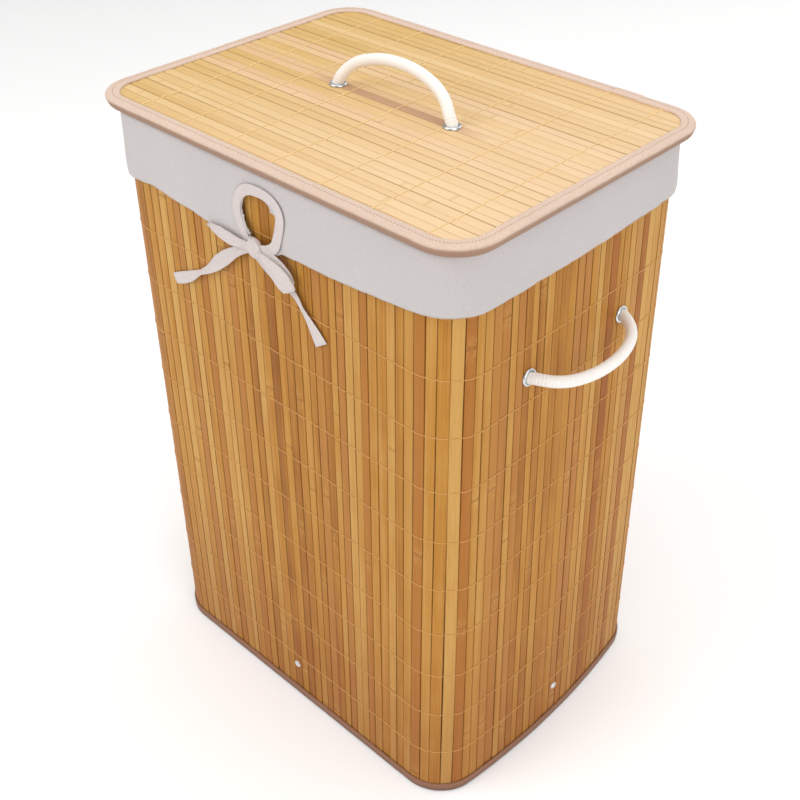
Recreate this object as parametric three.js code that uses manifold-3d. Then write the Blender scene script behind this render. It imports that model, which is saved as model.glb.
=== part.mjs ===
// A tall laundry hamper: a bamboo slat mat bent into a box and bound along both edges over a wire, a
// cloth bag that hangs inside and folds over the rim, a slatted lid on two cloth hinge tabs, and a rope
// handle on each short side and on the lid.
// Millimetres, +Z up, +X to the right along the long side, the front faces -Y. The origin is on the
// floor, under the middle of the hamper.

import * as THREE from 'three';
import { mergeVertices } from 'three/addons/utils/BufferGeometryUtils.js';
import Module from 'manifold-3d';

// ---- Driving dimensions ----

const GAP = 0.3; // clearance between pieces that lie against each other

// The slat mat, measured on its outer face
const BODY_WIDTH = 396;
const BODY_DEPTH_FLOOR = 316;
const BODY_DEPTH_RIM = 292; // the long sides lean in towards the rim
const BODY_HEIGHT = 596; // floor to the mat's top edge
const BODY_CORNER = 37;
const BULGE_FLOOR = 15; // how far the short sides swell out in the middle, at the floor
const BULGE_RIM = 3;
const MAT = 3.2;
const BACKING = 0.6; // cloth glued behind the slats

// Edges
const TAPE = 1.2; // binding tape
const WIRE = 4; // diameter of the wires that hold the shape
const TOP_BINDING = 14; // how far the tape reaches down from the rim
const BOTTOM_BINDING = 11;

// Base
const BASE_BOARD = 5;
const BASE_TAB_WIDTH = 40;
const BASE_TAB_HEIGHT = 58;
const BASE_TAB_FOOT = 36;
const BASE_TAB_CLEARANCE = 1; // a flat tab stands this clear of a swelling wall
const RIVET_HEIGHT = 45; // above the floor
const RIVET_SHANK = 3.6;
const RIVET_HEAD = 8;
const RIVET_HEAD_RISE = 1.8;
const RIVET_CROWN = [0.7, 0.7]; // where the dome bends, as shares of the head's radius and rise

// Bag
const CLOTH = 1.2;
const CUFF = 55; // how far the bag folds down over the outside
const BAG_CLEARANCE = 2; // between the hanging bag and the rope knots behind the mat
const BAG_SLOPE_END = 16; // the bag reaches that inset this far above the knots
const CUFF_HOLE_WIDTH = 40;
const CUFF_HOLE_HEIGHT = 42;
const CUFF_HOLE_X = -1;
const CUFF_HOLE_DROP = 39; // from the mat's top edge to the hole's middle
const HOLE_TAPE_WIDTH = 8;

// Bow of cloth tape, tied under the hole
const TIE_WIDTH = 11;
const TIE_THICKNESS = 1.2;
const TIE_LOOP = 3; // thickness of a folded loop
const KNOT_RADIUS = 8;
const KNOT_RISE = 7;
const KNOT_X = -5;
const KNOT_DROP = 61.5; // from the mat's top edge to the knot's middle
const TIE_NECK = 6; // width of the gathered tape beside the knot
const TIE_SPREAD = 14; // a tail reaches its full width this far from the knot
// lengths from the knot, and angles up from the right in degrees
const LEFT_LOOP = [58, 179];
const RIGHT_LOOP = [45, -33];
const LEFT_TAIL = [146, 213];
const RIGHT_TAIL = [94, -44];

// Lid
const LID_OVERHANG_SIDE = 10.5; // past the rim's widest part
const LID_OVERHANG_FRONT = 9;
const LID_CORNER = 38;
const LID_BOARD = 3;
const LID_LINING = 0.8;
const LID_BINDING = 12; // how far the tape reaches over the lid's edge
const LID_BINDING_ROUND = 2;
const HINGE_TAB_WIDTH = 45;
const HINGE_TAB_LENGTH = 42;
const HINGE_TAB_X = 110;
const HINGE_TAB_BEND = 3; // a tab leaves the cuff this far below its top

// Rope handles
const ROPE = 10;
const HANDLE_SPAN = 131;
const HANDLE_RISE = 26.5; // of the free arch above its swing axis
const HANDLE_TUCK = 3; // how far each foot of the arch leans in from its eyelet
const HANDLE_DROP = 135; // of the side handles' eyelets below the mat's top edge
const SIDE_HANDLE_DROOP = 10; // degrees below level, at rest
const LID_HANDLE_LEAN = 22; // degrees back from upright, at rest
const EYELET_RIM = 1.6; // how far the flange reaches past the barrel
const EYELET_FLANGE_RISE = 1.5;
const EYELET_WALL = 0.6;
const EYELET_OUTER_CHAMFER = 0.6;
const EYELET_INNER_CHAMFER = 0.4;
const WASHER_RIM = 2.3; // how far the washer reaches past its hole
const WASHER_THICKNESS = 1;
const ROPE_KNOT = 18;
const ROPE_KNOT_HEIGHT = 14;
const ROPE_KNOT_ENDS = [0.7, 0.8]; // the knot's radius below and above its middle, as shares of the largest
const ROPE_KNOT_ROUND = [1.5, 2]; // how far those two stand in from its ends
const STUB_PROUD = 0.4; // how far the rope's fixed end stands out of its eyelet

// Facets
const CORNER_STEPS = 5;
const LONG_STEPS = 1;
const SHORT_STEPS = 6;
const WALL_ROWS = 4;
const ROUND_SIDES = 12;
const WIRE_SIDES = 6;
const ROPE_SIDES = 8;
const ROPE_STEPS = 20;
const DRILL = 60; // length of the rods that holes are cut with
const OVERLAP = 0.1; // two solids that are joined share this much

// ---- Heights and depths that follow from them ----

const ropeBore = ROPE / 2 + GAP;
const eyeletBarrel = ropeBore + EYELET_WALL;
const eyeletHole = eyeletBarrel + GAP;
const flangeRadius = eyeletBarrel + EYELET_RIM;
const washerRadius = eyeletHole + WASHER_RIM;
const stubEnd = GAP + EYELET_FLANGE_RISE + STUB_PROUD;
const swingHeight = stubEnd + GAP + ROPE / 2; // of a handle's swing axis above its surface

const backingInset = MAT + GAP;
const linedWall = backingInset + BACKING + GAP; // the first free layer behind the mat
const tabFace = linedWall + BASE_TAB_CLEARANCE;
const wireInset = linedWall + WIRE / 2;
const bindingInner = linedWall + WIRE + GAP;
const bindingOuter = -GAP - TAPE;
const topWireHeight = BODY_HEIGHT - WIRE / 2;
const bottomEdge = TAPE + GAP; // the mat stands this high, inside the binding
const bottomWireHeight = bottomEdge + WIRE / 2;
const boardBottom = BOTTOM_BINDING + GAP;
const tabBottom = boardBottom + BASE_BOARD + GAP;
const bagInset = linedWall + GAP + WASHER_THICKNESS + GAP + ROPE_KNOT_HEIGHT + BAG_CLEARANCE;
const bagBottom = tabBottom + TAPE + GAP;
const bagTop = BODY_HEIGHT + GAP + TAPE + GAP + CLOTH;
const cuffOuter = bindingOuter - GAP - CLOTH;
const bagRimInner = bindingInner + TAPE + GAP;

const handleHeight = BODY_HEIGHT - HANDLE_DROP;
const bagShoulder = handleHeight + ROPE_KNOT / 2 + BAG_SLOPE_END;

const lidWidth = BODY_WIDTH + 2 * (BULGE_RIM + LID_OVERHANG_SIDE);
const lidDepth = BODY_DEPTH_RIM + 2 * LID_OVERHANG_FRONT;
const lidBottom = bagTop + GAP;
const lidBoardBottom = lidBottom + TAPE + GAP;
const lidMatBottom = lidBoardBottom + LID_BOARD + GAP;
const lidMatTop = lidMatBottom + MAT;
const lidTop = lidMatTop + GAP + TAPE;
const lidCoreInset = TAPE + GAP + WIRE + GAP; // the board and mat end inside the wire
const lidWireHeight = (lidBottom + lidTop) / 2;

// ---- Finishes ----

const finish = (color, roughness, metalness = 0) =>
  new THREE.MeshStandardMaterial({ color, roughness, metalness });
const bamboo = () => finish(0xbe8741, 0.5);
const paleBamboo = () => finish(0xebcd91, 0.5);
const bindingTape = () => finish(0xc9a392, 0.85);
const cotton = () => finish(0xdcdad8, 0.9);
const tieTape = () => finish(0xe6dad6, 0.9);
const fibreboard = () => finish(0x9a7a55, 0.8);
const ropeCotton = () => finish(0xf2ede0, 0.85);
const steelWire = () => finish(0x8d8f92, 0.4, 1);
const nickel = () => finish(0xcfd0d2, 0.25, 1);

// ---- Geometry helpers ----

const wasm = await Module();
wasm.setup();

const degrees = THREE.MathUtils.degToRad;
const steps = (count) => Array.from({ length: count + 1 }, (_, i) => i / count);

function toManifold(geometry) {
  const bare = new THREE.BufferGeometry();
  bare.setAttribute('position', geometry.getAttribute('position'));
  bare.setIndex(geometry.getIndex());
  const merged = mergeVertices(bare);
  return new wasm.Manifold(new wasm.Mesh({
    numProp: 3,
    vertProperties: Float32Array.from(merged.getAttribute('position').array),
    triVerts: Uint32Array.from(merged.getIndex().array),
  }));
}

function fromManifold(solid) {
  const { vertProperties, triVerts } = solid.getMesh();
  return indexed(vertProperties, Array.from(triVerts));
}

function indexed(positions, triangles) {
  const geometry = new THREE.BufferGeometry();
  geometry.setAttribute('position', new THREE.Float32BufferAttribute(positions, 3));
  geometry.setIndex(triangles);
  return geometry;
}

function cut(geometry, ...tools) {
  return fromManifold(tools.reduce((solid, tool) => solid.subtract(toManifold(tool)), toManifold(geometry)));
}

function join(geometry, ...others) {
  return fromManifold(others.reduce((solid, other) => solid.add(toManifold(other)), toManifold(geometry)));
}

// A rounded rectangle as eight stretches, anticlockwise from the front. Each station holds a point of
// the outline and the direction that faces out of it there.
function outline(width, depth, radius) {
  const x = width / 2;
  const y = depth / 2;
  const straight = (x0, y0, x1, y1, count) => steps(count).map((t) => ({
    point: new THREE.Vector2(x0, y0).lerp(new THREE.Vector2(x1, y1), t),
    out: new THREE.Vector2(y1 - y0, x0 - x1).normalize(),
  }));
  const arc = (cx, cy, start) => steps(CORNER_STEPS).map((t) => {
    const angle = degrees(start + 90 * t);
    const out = new THREE.Vector2(Math.cos(angle), Math.sin(angle));
    return { point: new THREE.Vector2(cx, cy).addScaledVector(out, radius), out };
  });
  return {
    front: straight(radius - x, -y, x - radius, -y, LONG_STEPS),
    front_right: arc(x - radius, radius - y, -90),
    right: straight(x, radius - y, x, y - radius, SHORT_STEPS),
    back_right: arc(x - radius, y - radius, 0),
    back: straight(x - radius, y, radius - x, y, LONG_STEPS),
    back_left: arc(radius - x, y - radius, 90),
    left: straight(-x, y - radius, -x, radius - y, SHORT_STEPS),
    front_left: arc(radius - x, radius - y, 180),
  };
}

// All the stations of an outline, each one once.
const around = (stretches) => Object.values(stretches).flatMap((stations) => stations.slice(0, -1));

const upright = (x, y, z) => [x, y, z];

// The hamper's own shape: a straight rounded box whose long sides lean in with height and whose short
// sides swell outwards in the middle, less towards the rim.
function lean(x, y, z) {
  const rise = z / BODY_HEIGHT;
  const bulge = THREE.MathUtils.lerp(BULGE_FLOOR, BULGE_RIM, rise);
  const across = (2 * y) / BODY_DEPTH_FLOOR;
  const outwards = x / (BODY_WIDTH / 2);
  const depth = THREE.MathUtils.lerp(BODY_DEPTH_FLOOR, BODY_DEPTH_RIM, rise) / BODY_DEPTH_FLOOR;
  return [x + outwards * bulge * (1 - across * across), y * depth, z];
}

// A profile carried along stations of an outline. Its points are [inset, height], from the outer foot
// up the outside and down the inside. A closed run has no ends, an open one is capped.
function carry(stations, profile, bend, closed) {
  const count = profile.length;
  const positions = stations.flatMap(({ point, out }) => profile.flatMap(([inset, height]) =>
    bend(point.x - out.x * inset, point.y - out.y * inset, height)));
  const triangles = [];
  const runs = closed ? stations.length : stations.length - 1;
  for (let k = 0; k < runs; k += 1) {
    const here = k * count;
    const next = ((k + 1) % stations.length) * count;
    for (let j = 0; j < count; j += 1) {
      const up = (j + 1) % count;
      // both faces of a wall are split along the same diagonal, so that twisted walls nest
      const split = profile[up][1] > profile[j][1]
        ? [here + j, next + j, next + up, here + j, next + up, here + up]
        : [here + j, next + j, here + up, next + j, next + up, here + up];
      triangles.push(...split);
    }
  }
  if (!closed) {
    const last = (stations.length - 1) * count;
    const contour = profile.map(([inset, height]) => new THREE.Vector2(inset, height));
    for (const [a, b, c] of THREE.ShapeUtils.triangulateShape(contour, [])) {
      triangles.push(a, c, b, last + a, last + b, last + c);
    }
  }
  return indexed(positions, triangles);
}

// A wall's section between two insets, in rows
const wall = (outer, inner, low, high) => {
  const heights = steps(WALL_ROWS).map((t) => THREE.MathUtils.lerp(low, high, t));
  return [...heights.map((z) => [outer, z]), ...heights.reverse().map((z) => [inner, z])];
};

// A wire's round section, as a profile
const round = (inset, height, diameter) => steps(WIRE_SIDES).slice(1).map((t) => [
  inset - (diameter / 2) * Math.cos(2 * Math.PI * t),
  height + (diameter / 2) * Math.sin(2 * Math.PI * t),
]);

const circle = (x, y, radius) => new THREE.Path().absarc(x, y, radius, 0, 2 * Math.PI, true);

// A flat plate inside an outline, with round holes
function plate(stations, inset, low, high, bend, holes = []) {
  const middle = (low + high) / 2;
  const shape = new THREE.Shape(stations.map(({ point, out }) => {
    const [x, y] = bend(point.x - out.x * inset, point.y - out.y * inset, middle);
    return new THREE.Vector2(x, y);
  }));
  shape.holes.push(...holes);
  const geometry = new THREE.ExtrudeGeometry(shape, {
    depth: high - low, bevelEnabled: false, curveSegments: ROUND_SIDES / 2,
  });
  return geometry.translate(0, 0, low);
}

// A turned piece about Z, from [radius, height] points listed anticlockwise
function turned(points) {
  const profile = points.map(([radius, height]) => new THREE.Vector2(radius, height));
  return new THREE.LatheGeometry(profile, ROUND_SIDES).rotateX(Math.PI / 2);
}

const rod = (radius, length) => new THREE.CylinderGeometry(radius, radius, length, ROUND_SIDES)
  .rotateX(Math.PI / 2);

function flatShape(points, thickness, base) {
  const shape = new THREE.Shape(points.map(([x, y]) => new THREE.Vector2(x, y)));
  return new THREE.ExtrudeGeometry(shape, { depth: thickness, bevelEnabled: false }).translate(0, 0, base);
}

// ---- Assembly ----

const hamper = new THREE.Group();

function add(name, geometry, material, frame = new THREE.Matrix4()) {
  const mesh = new THREE.Mesh(geometry, material);
  mesh.name = name;
  frame.decompose(mesh.position, mesh.quaternion, mesh.scale);
  hamper.add(mesh);
}

const body = outline(BODY_WIDTH, BODY_DEPTH_FLOOR, BODY_CORNER);
const bodyRing = around(body);

// The frame at a place on the body's outer face: x along the wall, anticlockwise, y up it, z outwards.
function onWall(side, along, height, proud = 0) {
  const x = BODY_WIDTH / 2;
  const y = BODY_DEPTH_FLOOR / 2;
  const place = {
    front: (s) => [s, -y], right: (s) => [x, s], back: (s) => [-s, y], left: (s) => [-x, -s],
  }[side];
  const at = (s, z) => new THREE.Vector3(...lean(...place(s), z));
  const tangent = at(along + 1, height).sub(at(along - 1, height)).normalize();
  const up = at(along, height + 1).sub(at(along, height - 1)).normalize();
  const out = tangent.clone().cross(up).normalize();
  const origin = at(along, height).addScaledVector(out, proud);
  return new THREE.Matrix4().makeBasis(out.clone().cross(tangent).cross(out), up, out).setPosition(origin);
}

const drill = (frame, radius) => rod(radius, DRILL).applyMatrix4(frame);

const SIDES = ['front', 'right', 'back', 'left'];
const handleEyelets = (side) => [-1, 1].map((end) => onWall(side, (end * HANDLE_SPAN) / 2, handleHeight));
const rivetFrames = Object.fromEntries(SIDES.map((side) => [side, onWall(side, 0, RIVET_HEIGHT)]));

// Holes through the walls, for the rivets and the side handles' eyelets
const wallHoles = [
  ...SIDES.map((side) => drill(rivetFrames[side], RIVET_SHANK / 2 + GAP)),
  ...['left', 'right'].flatMap((side) => handleEyelets(side).map((frame) => drill(frame, eyeletHole))),
];

// The slat mat, as a flat panel for each side and a bent one for each corner
function slatMat() {
  for (const [place, stations] of Object.entries(body)) {
    const isSide = SIDES.includes(place);
    const ends = [stations[0], stations.at(-1)];
    const along = ends[1].point.clone().sub(ends[0].point).setLength(GAP);
    const trimmed = stations.map((station) => ({ ...station, point: station.point.clone() }));
    if (isSide) {
      trimmed[0].point.add(along);
      trimmed.at(-1).point.sub(along);
    }
    const panel = carry(trimmed, wall(0, MAT, bottomEdge, BODY_HEIGHT), lean, false);
    if (isSide) {
      add(`${place}_slats`, cut(panel, ...wallHoles), bamboo());
    } else {
      add(`${place}_corner_slats`, panel, bamboo());
    }
  }
  const layer = wall(backingInset, backingInset + BACKING, bottomEdge, BODY_HEIGHT);
  add('mat_backing', cut(carry(bodyRing, layer, lean, true), ...wallHoles), cotton());
}

// Tape folded over an edge of the mat and the wire inside it. The edge is at `edge`, and `into` is the
// height where the tape's two legs end.
function edgeBinding(name, edge, into, wireHeight) {
  const outside = edge + Math.sign(edge - into) * (GAP + TAPE);
  const inside = edge + Math.sign(edge - into) * GAP;
  const inner = bindingInner + TAPE;
  const profile = [
    [bindingOuter, into], [bindingOuter, outside], [inner, outside], [inner, into],
    [bindingInner, into], [bindingInner, inside], [-GAP, inside], [-GAP, into],
  ];
  const upwards = outside > into ? profile : profile.reverse();
  add(`${name}_binding`, carry(bodyRing, upwards, lean, true), bindingTape());
  add(`${name}_wire`, carry(bodyRing, round(wireInset, wireHeight, WIRE), lean, true), steelWire());
}

// A board that lies on the bottom binding, held by a riveted tab in the middle of each side
function base() {
  const top = boardBottom + BASE_BOARD;
  add('base_board', plate(bodyRing, linedWall, boardBottom, top, lean), fibreboard());
  for (const side of SIDES) {
    const hole = drill(rivetFrames[side], RIVET_SHANK / 2 + GAP);
    add(`${side}_base_tab`, cut(baseTab(side), hole), bindingTape());
    add(`${side}_rivet`, rivet(tabFace + TAPE), nickel(), rivetFrames[side]);
  }
}

// An angled tab: its foot lies on the base board and its leg follows the leaning wall
function baseTab(side) {
  const top = tabBottom + BASE_TAB_HEIGHT;
  const onFace = (z) => new THREE.Vector3().setFromMatrixPosition(onWall(side, 0, z));
  const [low, high] = [tabBottom, top].map(onFace);
  const out = low.clone().setZ(0).normalize();
  const face = (point) => point.dot(out) - tabFace;
  const section = new THREE.Shape([
    [face(low), tabBottom], [face(high), top], [face(high) - TAPE, top], [face(low) - TAPE, tabBottom + TAPE],
    [face(low) - BASE_TAB_FOOT, tabBottom + TAPE], [face(low) - BASE_TAB_FOOT, tabBottom],
  ].map(([x, y]) => new THREE.Vector2(x, y)));
  const up = new THREE.Vector3(0, 0, 1);
  return new THREE.ExtrudeGeometry(section, { depth: BASE_TAB_WIDTH, bevelEnabled: false })
    .translate(0, 0, -BASE_TAB_WIDTH / 2)
    .applyMatrix4(new THREE.Matrix4().makeBasis(out, up, out.clone().cross(up)));
}

// A rivet through that depth of wall: a domed head outside, a flat one inside
function rivet(depth) {
  const shank = RIVET_SHANK / 2;
  const head = RIVET_HEAD / 2;
  const tail = -depth - GAP;
  const end = tail - RIVET_HEAD_RISE / 2;
  const crown = [head * RIVET_CROWN[0], GAP + RIVET_HEAD_RISE * RIVET_CROWN[1]];
  return turned([
    [0, end], [head, end], [head, tail], [shank, tail], [shank, GAP], [head, GAP], crown,
    [0, GAP + RIVET_HEAD_RISE],
  ]);
}

const holeFrame = onWall('front', CUFF_HOLE_X, BODY_HEIGHT - CUFF_HOLE_DROP, -cuffOuter);

// The bag: one cloth skin from its floor up inside the walls, over the rim and down outside as a cuff
function bag() {
  const cuffEdge = BODY_HEIGHT - CUFF;
  const profile = [
    [cuffOuter, cuffEdge], [cuffOuter, bagTop], [bagRimInner + CLOTH, bagTop],
    [bagRimInner + CLOTH, BODY_HEIGHT - TOP_BINDING], [bagInset + CLOTH, bagShoulder],
    [bagInset + CLOTH, bagBottom], [bagInset, bagBottom], [bagInset, bagShoulder],
    [bagRimInner, BODY_HEIGHT - TOP_BINDING], [bagRimInner, bagTop - CLOTH],
    [cuffOuter + CLOTH, bagTop - CLOTH], [cuffOuter + CLOTH, cuffEdge],
  ];
  const skin = carry(bodyRing, profile, lean, true);
  const floor = plate(bodyRing, bagInset + CLOTH / 2, bagBottom + OVERLAP, bagBottom + CLOTH, lean);
  const hole = new THREE.CylinderGeometry(1, 1, 2 * (CLOTH + GAP), 2 * ROUND_SIDES)
    .rotateX(Math.PI / 2).scale(CUFF_HOLE_WIDTH / 2, CUFF_HOLE_HEIGHT / 2, 1).applyMatrix4(holeFrame);
  add('bag', cut(join(skin, floor), hole), cotton());
}

// The tape round the hole in the cuff
function holeBinding() {
  const oval = (grow, clockwise) => new THREE.Path().absellipse(
    0, 0, CUFF_HOLE_WIDTH / 2 + grow, CUFF_HOLE_HEIGHT / 2 + grow, 0, 2 * Math.PI, clockwise);
  const ring = new THREE.Shape(oval(HOLE_TAPE_WIDTH, false).getPoints(ROUND_SIDES));
  ring.holes.push(oval(0, true));
  const geometry = new THREE.ExtrudeGeometry(ring, {
    depth: TAPE, bevelEnabled: false, curveSegments: ROUND_SIDES,
  });
  add('hole_binding', geometry.translate(0, 0, GAP), tieTape(), holeFrame);
}

// The bow, in a plane against the front of the cuff with the knot at its origin: two loops in front of
// two tails
function bow() {
  const frame = onWall('front', KNOT_X, BODY_HEIGHT - KNOT_DROP, -cuffOuter);
  const tails = GAP + TAPE + GAP;
  const loops = tails + TIE_THICKNESS + GAP;
  const knot = new THREE.SphereGeometry(1, ROUND_SIDES, ROUND_SIDES / 2)
    .scale(KNOT_RADIUS, KNOT_RADIUS, KNOT_RISE / 2).translate(0, 0, tails + KNOT_RISE / 2);
  add('bow_knot', knot, tieTape(), frame);
  const clear = KNOT_RADIUS + GAP;
  const half = TIE_WIDTH / 2;
  const neck = TIE_NECK / 2;
  // a tail or loop lies along a line at an angle from the knot, and its own shape is drawn along x
  const lay = (name, shape, [length, angle], thickness, base) =>
    add(name, flatShape(shape(length), thickness, base).rotateZ(degrees(angle)), tieTape(), frame);
  const loop = (length) => [
    [clear, -neck], [length * 0.5, -half], [length * 0.9, -half], [length, 0], [length * 0.9, half],
    [length * 0.5, half], [clear, neck],
  ];
  const tail = (length) => [
    [clear, -neck], [clear + TIE_SPREAD, -half], [length, -half], [length, half],
    [clear + TIE_SPREAD, half], [clear, neck],
  ];
  lay('bow_left_loop', loop, LEFT_LOOP, TIE_LOOP, loops);
  lay('bow_right_loop', loop, RIGHT_LOOP, TIE_LOOP, loops);
  lay('bow_left_tail', tail, LEFT_TAIL, TIE_THICKNESS, tails);
  lay('bow_right_tail', tail, RIGHT_TAIL, TIE_THICKNESS, tails);
}

// A rope end held in an eyelet: the flanged eyelet, the washer behind the wall, and the rope's end with
// its stopper knot. The frame's z is outwards, and `depth` is the thickness from flange to washer.
function ropeAnchor(name, frame, depth) {
  const flangeTop = GAP + EYELET_FLANGE_RISE;
  const washerTop = -depth - GAP;
  const washerBottom = washerTop - WASHER_THICKNESS;
  const knotTop = washerBottom - GAP;
  const knotMiddle = knotTop - ROPE_KNOT_HEIGHT / 2;
  const knotBottom = knotTop - ROPE_KNOT_HEIGHT;
  add(`${name}_eyelet`, turned([
    [ropeBore, washerBottom], [eyeletBarrel, washerBottom], [eyeletBarrel, GAP], [flangeRadius, GAP],
    [flangeRadius - EYELET_OUTER_CHAMFER, flangeTop], [ropeBore + EYELET_INNER_CHAMFER, flangeTop],
    [ropeBore, GAP], [ropeBore, washerBottom],
  ]), nickel(), frame);
  add(`${name}_washer`, turned([
    [eyeletHole, washerBottom], [washerRadius, washerBottom], [washerRadius, washerTop],
    [eyeletHole, washerTop], [eyeletHole, washerBottom],
  ]), nickel(), frame);
  const [lower, upper] = ROPE_KNOT_ENDS.map((share) => (share * ROPE_KNOT) / 2);
  const [fromBottom, fromTop] = ROPE_KNOT_ROUND;
  add(`${name}_knot`, turned([
    [0, knotBottom], [lower, knotBottom + fromBottom], [ROPE_KNOT / 2, knotMiddle],
    [upper, knotTop - fromTop], [ROPE / 2, knotTop], [ROPE / 2, stubEnd], [0, stubEnd],
  ]), ropeCotton(), frame);
}

// A handle's free rope, an arch in its own x-z plane whose rounded feet turn on the swing axis
function ropeArch(eyeletSpan) {
  const halfSpan = eyeletSpan / 2 - HANDLE_TUCK;
  const half = [[1, 0], [0.9, 0.28], [0.68, 0.62], [0.38, 0.89]];
  const point = ([across, rise]) => new THREE.Vector3(across * halfSpan, 0, rise * HANDLE_RISE);
  const mirror = ([across, rise]) => [-across, rise];
  const route = [...half.map(point), point([0, 1]), ...half.map(mirror).reverse().map(point)];
  const section = new THREE.Shape(steps(ROPE_SIDES).slice(1).map((t) => new THREE.Vector2(
    (ROPE / 2) * Math.cos(2 * Math.PI * t), (ROPE / 2) * Math.sin(2 * Math.PI * t))));
  const arch = new THREE.ExtrudeGeometry(section, {
    steps: ROPE_STEPS, bevelEnabled: false, extrudePath: new THREE.CatmullRomCurve3(route),
  });
  const foot = (end) => new THREE.SphereGeometry(ROPE / 2, ROPE_SIDES, ROPE_SIDES / 2)
    .rotateX(Math.PI / 2).translate(end * halfSpan, 0, 0);
  return join(arch, foot(-1), foot(1));
}

// The frame of an arch: x along the swing axis, z the way that the arch rises
function archFrame(origin, along, rise) {
  return new THREE.Matrix4().makeBasis(along, rise.clone().cross(along), rise).setPosition(origin);
}

function sideHandle(side) {
  const eyelets = handleEyelets(side);
  ['first', 'second'].forEach((end, i) => ropeAnchor(`${side}_handle_${end}`, eyelets[i], linedWall));
  const feet = eyelets.map((frame) => new THREE.Vector3(0, 0, swingHeight).applyMatrix4(frame));
  const middle = feet[0].clone().lerp(feet[1], 0.5);
  const along = feet[1].clone().sub(feet[0]);
  const out = new THREE.Vector3(Math.sign(middle.x), 0, 0);
  const rise = out.multiplyScalar(Math.cos(degrees(SIDE_HANDLE_DROOP)))
    .setZ(-Math.sin(degrees(SIDE_HANDLE_DROOP)));
  const span = along.length();
  add(`${side}_handle_rope`, ropeArch(span), ropeCotton(), archFrame(middle, along.normalize(), rise));
}

const lidRing = around(outline(lidWidth, lidDepth, LID_CORNER));

function lid() {
  const layer = (inset, low, high) => plate(lidRing, inset, low, high, upright,
    [-1, 1].map((end) => circle((end * HANDLE_SPAN) / 2, 0, eyeletHole)));
  add('lid_slats', layer(lidCoreInset, lidMatBottom, lidMatTop), paleBamboo());
  add('lid_board', layer(lidCoreInset, lidBoardBottom, lidMatBottom - GAP), fibreboard());
  add('lid_lining', layer(LID_BINDING + GAP, lidBottom, lidBottom + LID_LINING), cotton());
  const soft = LID_BINDING_ROUND;
  add('lid_binding', carry(lidRing, [
    [soft, lidBottom], [0, lidBottom + soft], [0, lidTop - soft], [soft, lidTop], [LID_BINDING, lidTop],
    [LID_BINDING, lidTop - TAPE], [soft, lidTop - TAPE], [TAPE, lidTop - soft], [TAPE, lidBottom + soft],
    [soft, lidBottom + TAPE], [LID_BINDING, lidBottom + TAPE], [LID_BINDING, lidBottom],
  ], upright, true), bindingTape());
  const wire = round(TAPE + GAP + WIRE / 2, lidWireHeight, WIRE);
  add('lid_wire', carry(lidRing, wire, upright, true), steelWire());
}

function lidHandle() {
  ['left', 'right'].forEach((end, i) => {
    const frame = new THREE.Matrix4().setPosition((i - 0.5) * HANDLE_SPAN, 0, lidMatTop);
    ropeAnchor(`lid_handle_${end}`, frame, lidMatTop - lidBottom);
  });
  const origin = new THREE.Vector3(0, 0, lidMatTop + swingHeight);
  const back = degrees(LID_HANDLE_LEAN);
  const rise = new THREE.Vector3(0, Math.sin(back), Math.cos(back));
  add('lid_handle_rope', ropeArch(HANDLE_SPAN), ropeCotton(),
    archFrame(origin, new THREE.Vector3(1, 0, 0), rise));
}

// The cloth tabs that the lid swings on, sewn to the back of the cuff and bent out to the lid's edge
function hingeTabs() {
  const reach = lidDepth / 2;
  for (const [name, x] of [['left', -HINGE_TAB_X], ['right', HINGE_TAB_X]]) {
    const top = onWall('back', -x, bagTop - HINGE_TAB_BEND, -cuffOuter + GAP);
    const bottom = onWall('back', -x, bagTop - HINGE_TAB_LENGTH, -cuffOuter + GAP);
    const [high, low] = [top, bottom].map((frame) => new THREE.Vector3().setFromMatrixPosition(frame));
    const section = new THREE.Shape([
      [low.y, low.z], [low.y + TAPE, low.z], [high.y + TAPE, high.z - TAPE / 2],
      [reach, lidBottom - 2 * TAPE], [reach, lidBottom - TAPE], [high.y, high.z],
    ].map(([y, z]) => new THREE.Vector2(y, z)));
    const tab = new THREE.ExtrudeGeometry(section, { depth: HINGE_TAB_WIDTH, bevelEnabled: false });
    // the section's x and y become the hamper's y and z
    const turn = new THREE.Matrix4().makeBasis(
      new THREE.Vector3(0, 1, 0), new THREE.Vector3(0, 0, 1), new THREE.Vector3(1, 0, 0));
    add(`${name}_hinge_tab`, tab, cotton(), turn.setPosition(x - HINGE_TAB_WIDTH / 2, 0, 0));
  }
}

slatMat();
edgeBinding('bottom', bottomEdge, BOTTOM_BINDING, bottomWireHeight);
edgeBinding('top', BODY_HEIGHT, BODY_HEIGHT - TOP_BINDING, topWireHeight);
base();
bag();
holeBinding();
bow();
sideHandle('left');
sideHandle('right');
lid();
lidHandle();
hingeTabs();

export default hamper;
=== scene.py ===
"""A tall laundry hamper: bamboo slats woven into a box, a cloth bag folded over the rim, a slatted lid on
cloth hinge tabs and three rope handles.

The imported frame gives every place, and the pieces are numpy surfaces drawn over it. Metres, +Z up, +X
along the long side. The front faces -Y and the origin is on the floor, under the middle.
"""
import math

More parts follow.
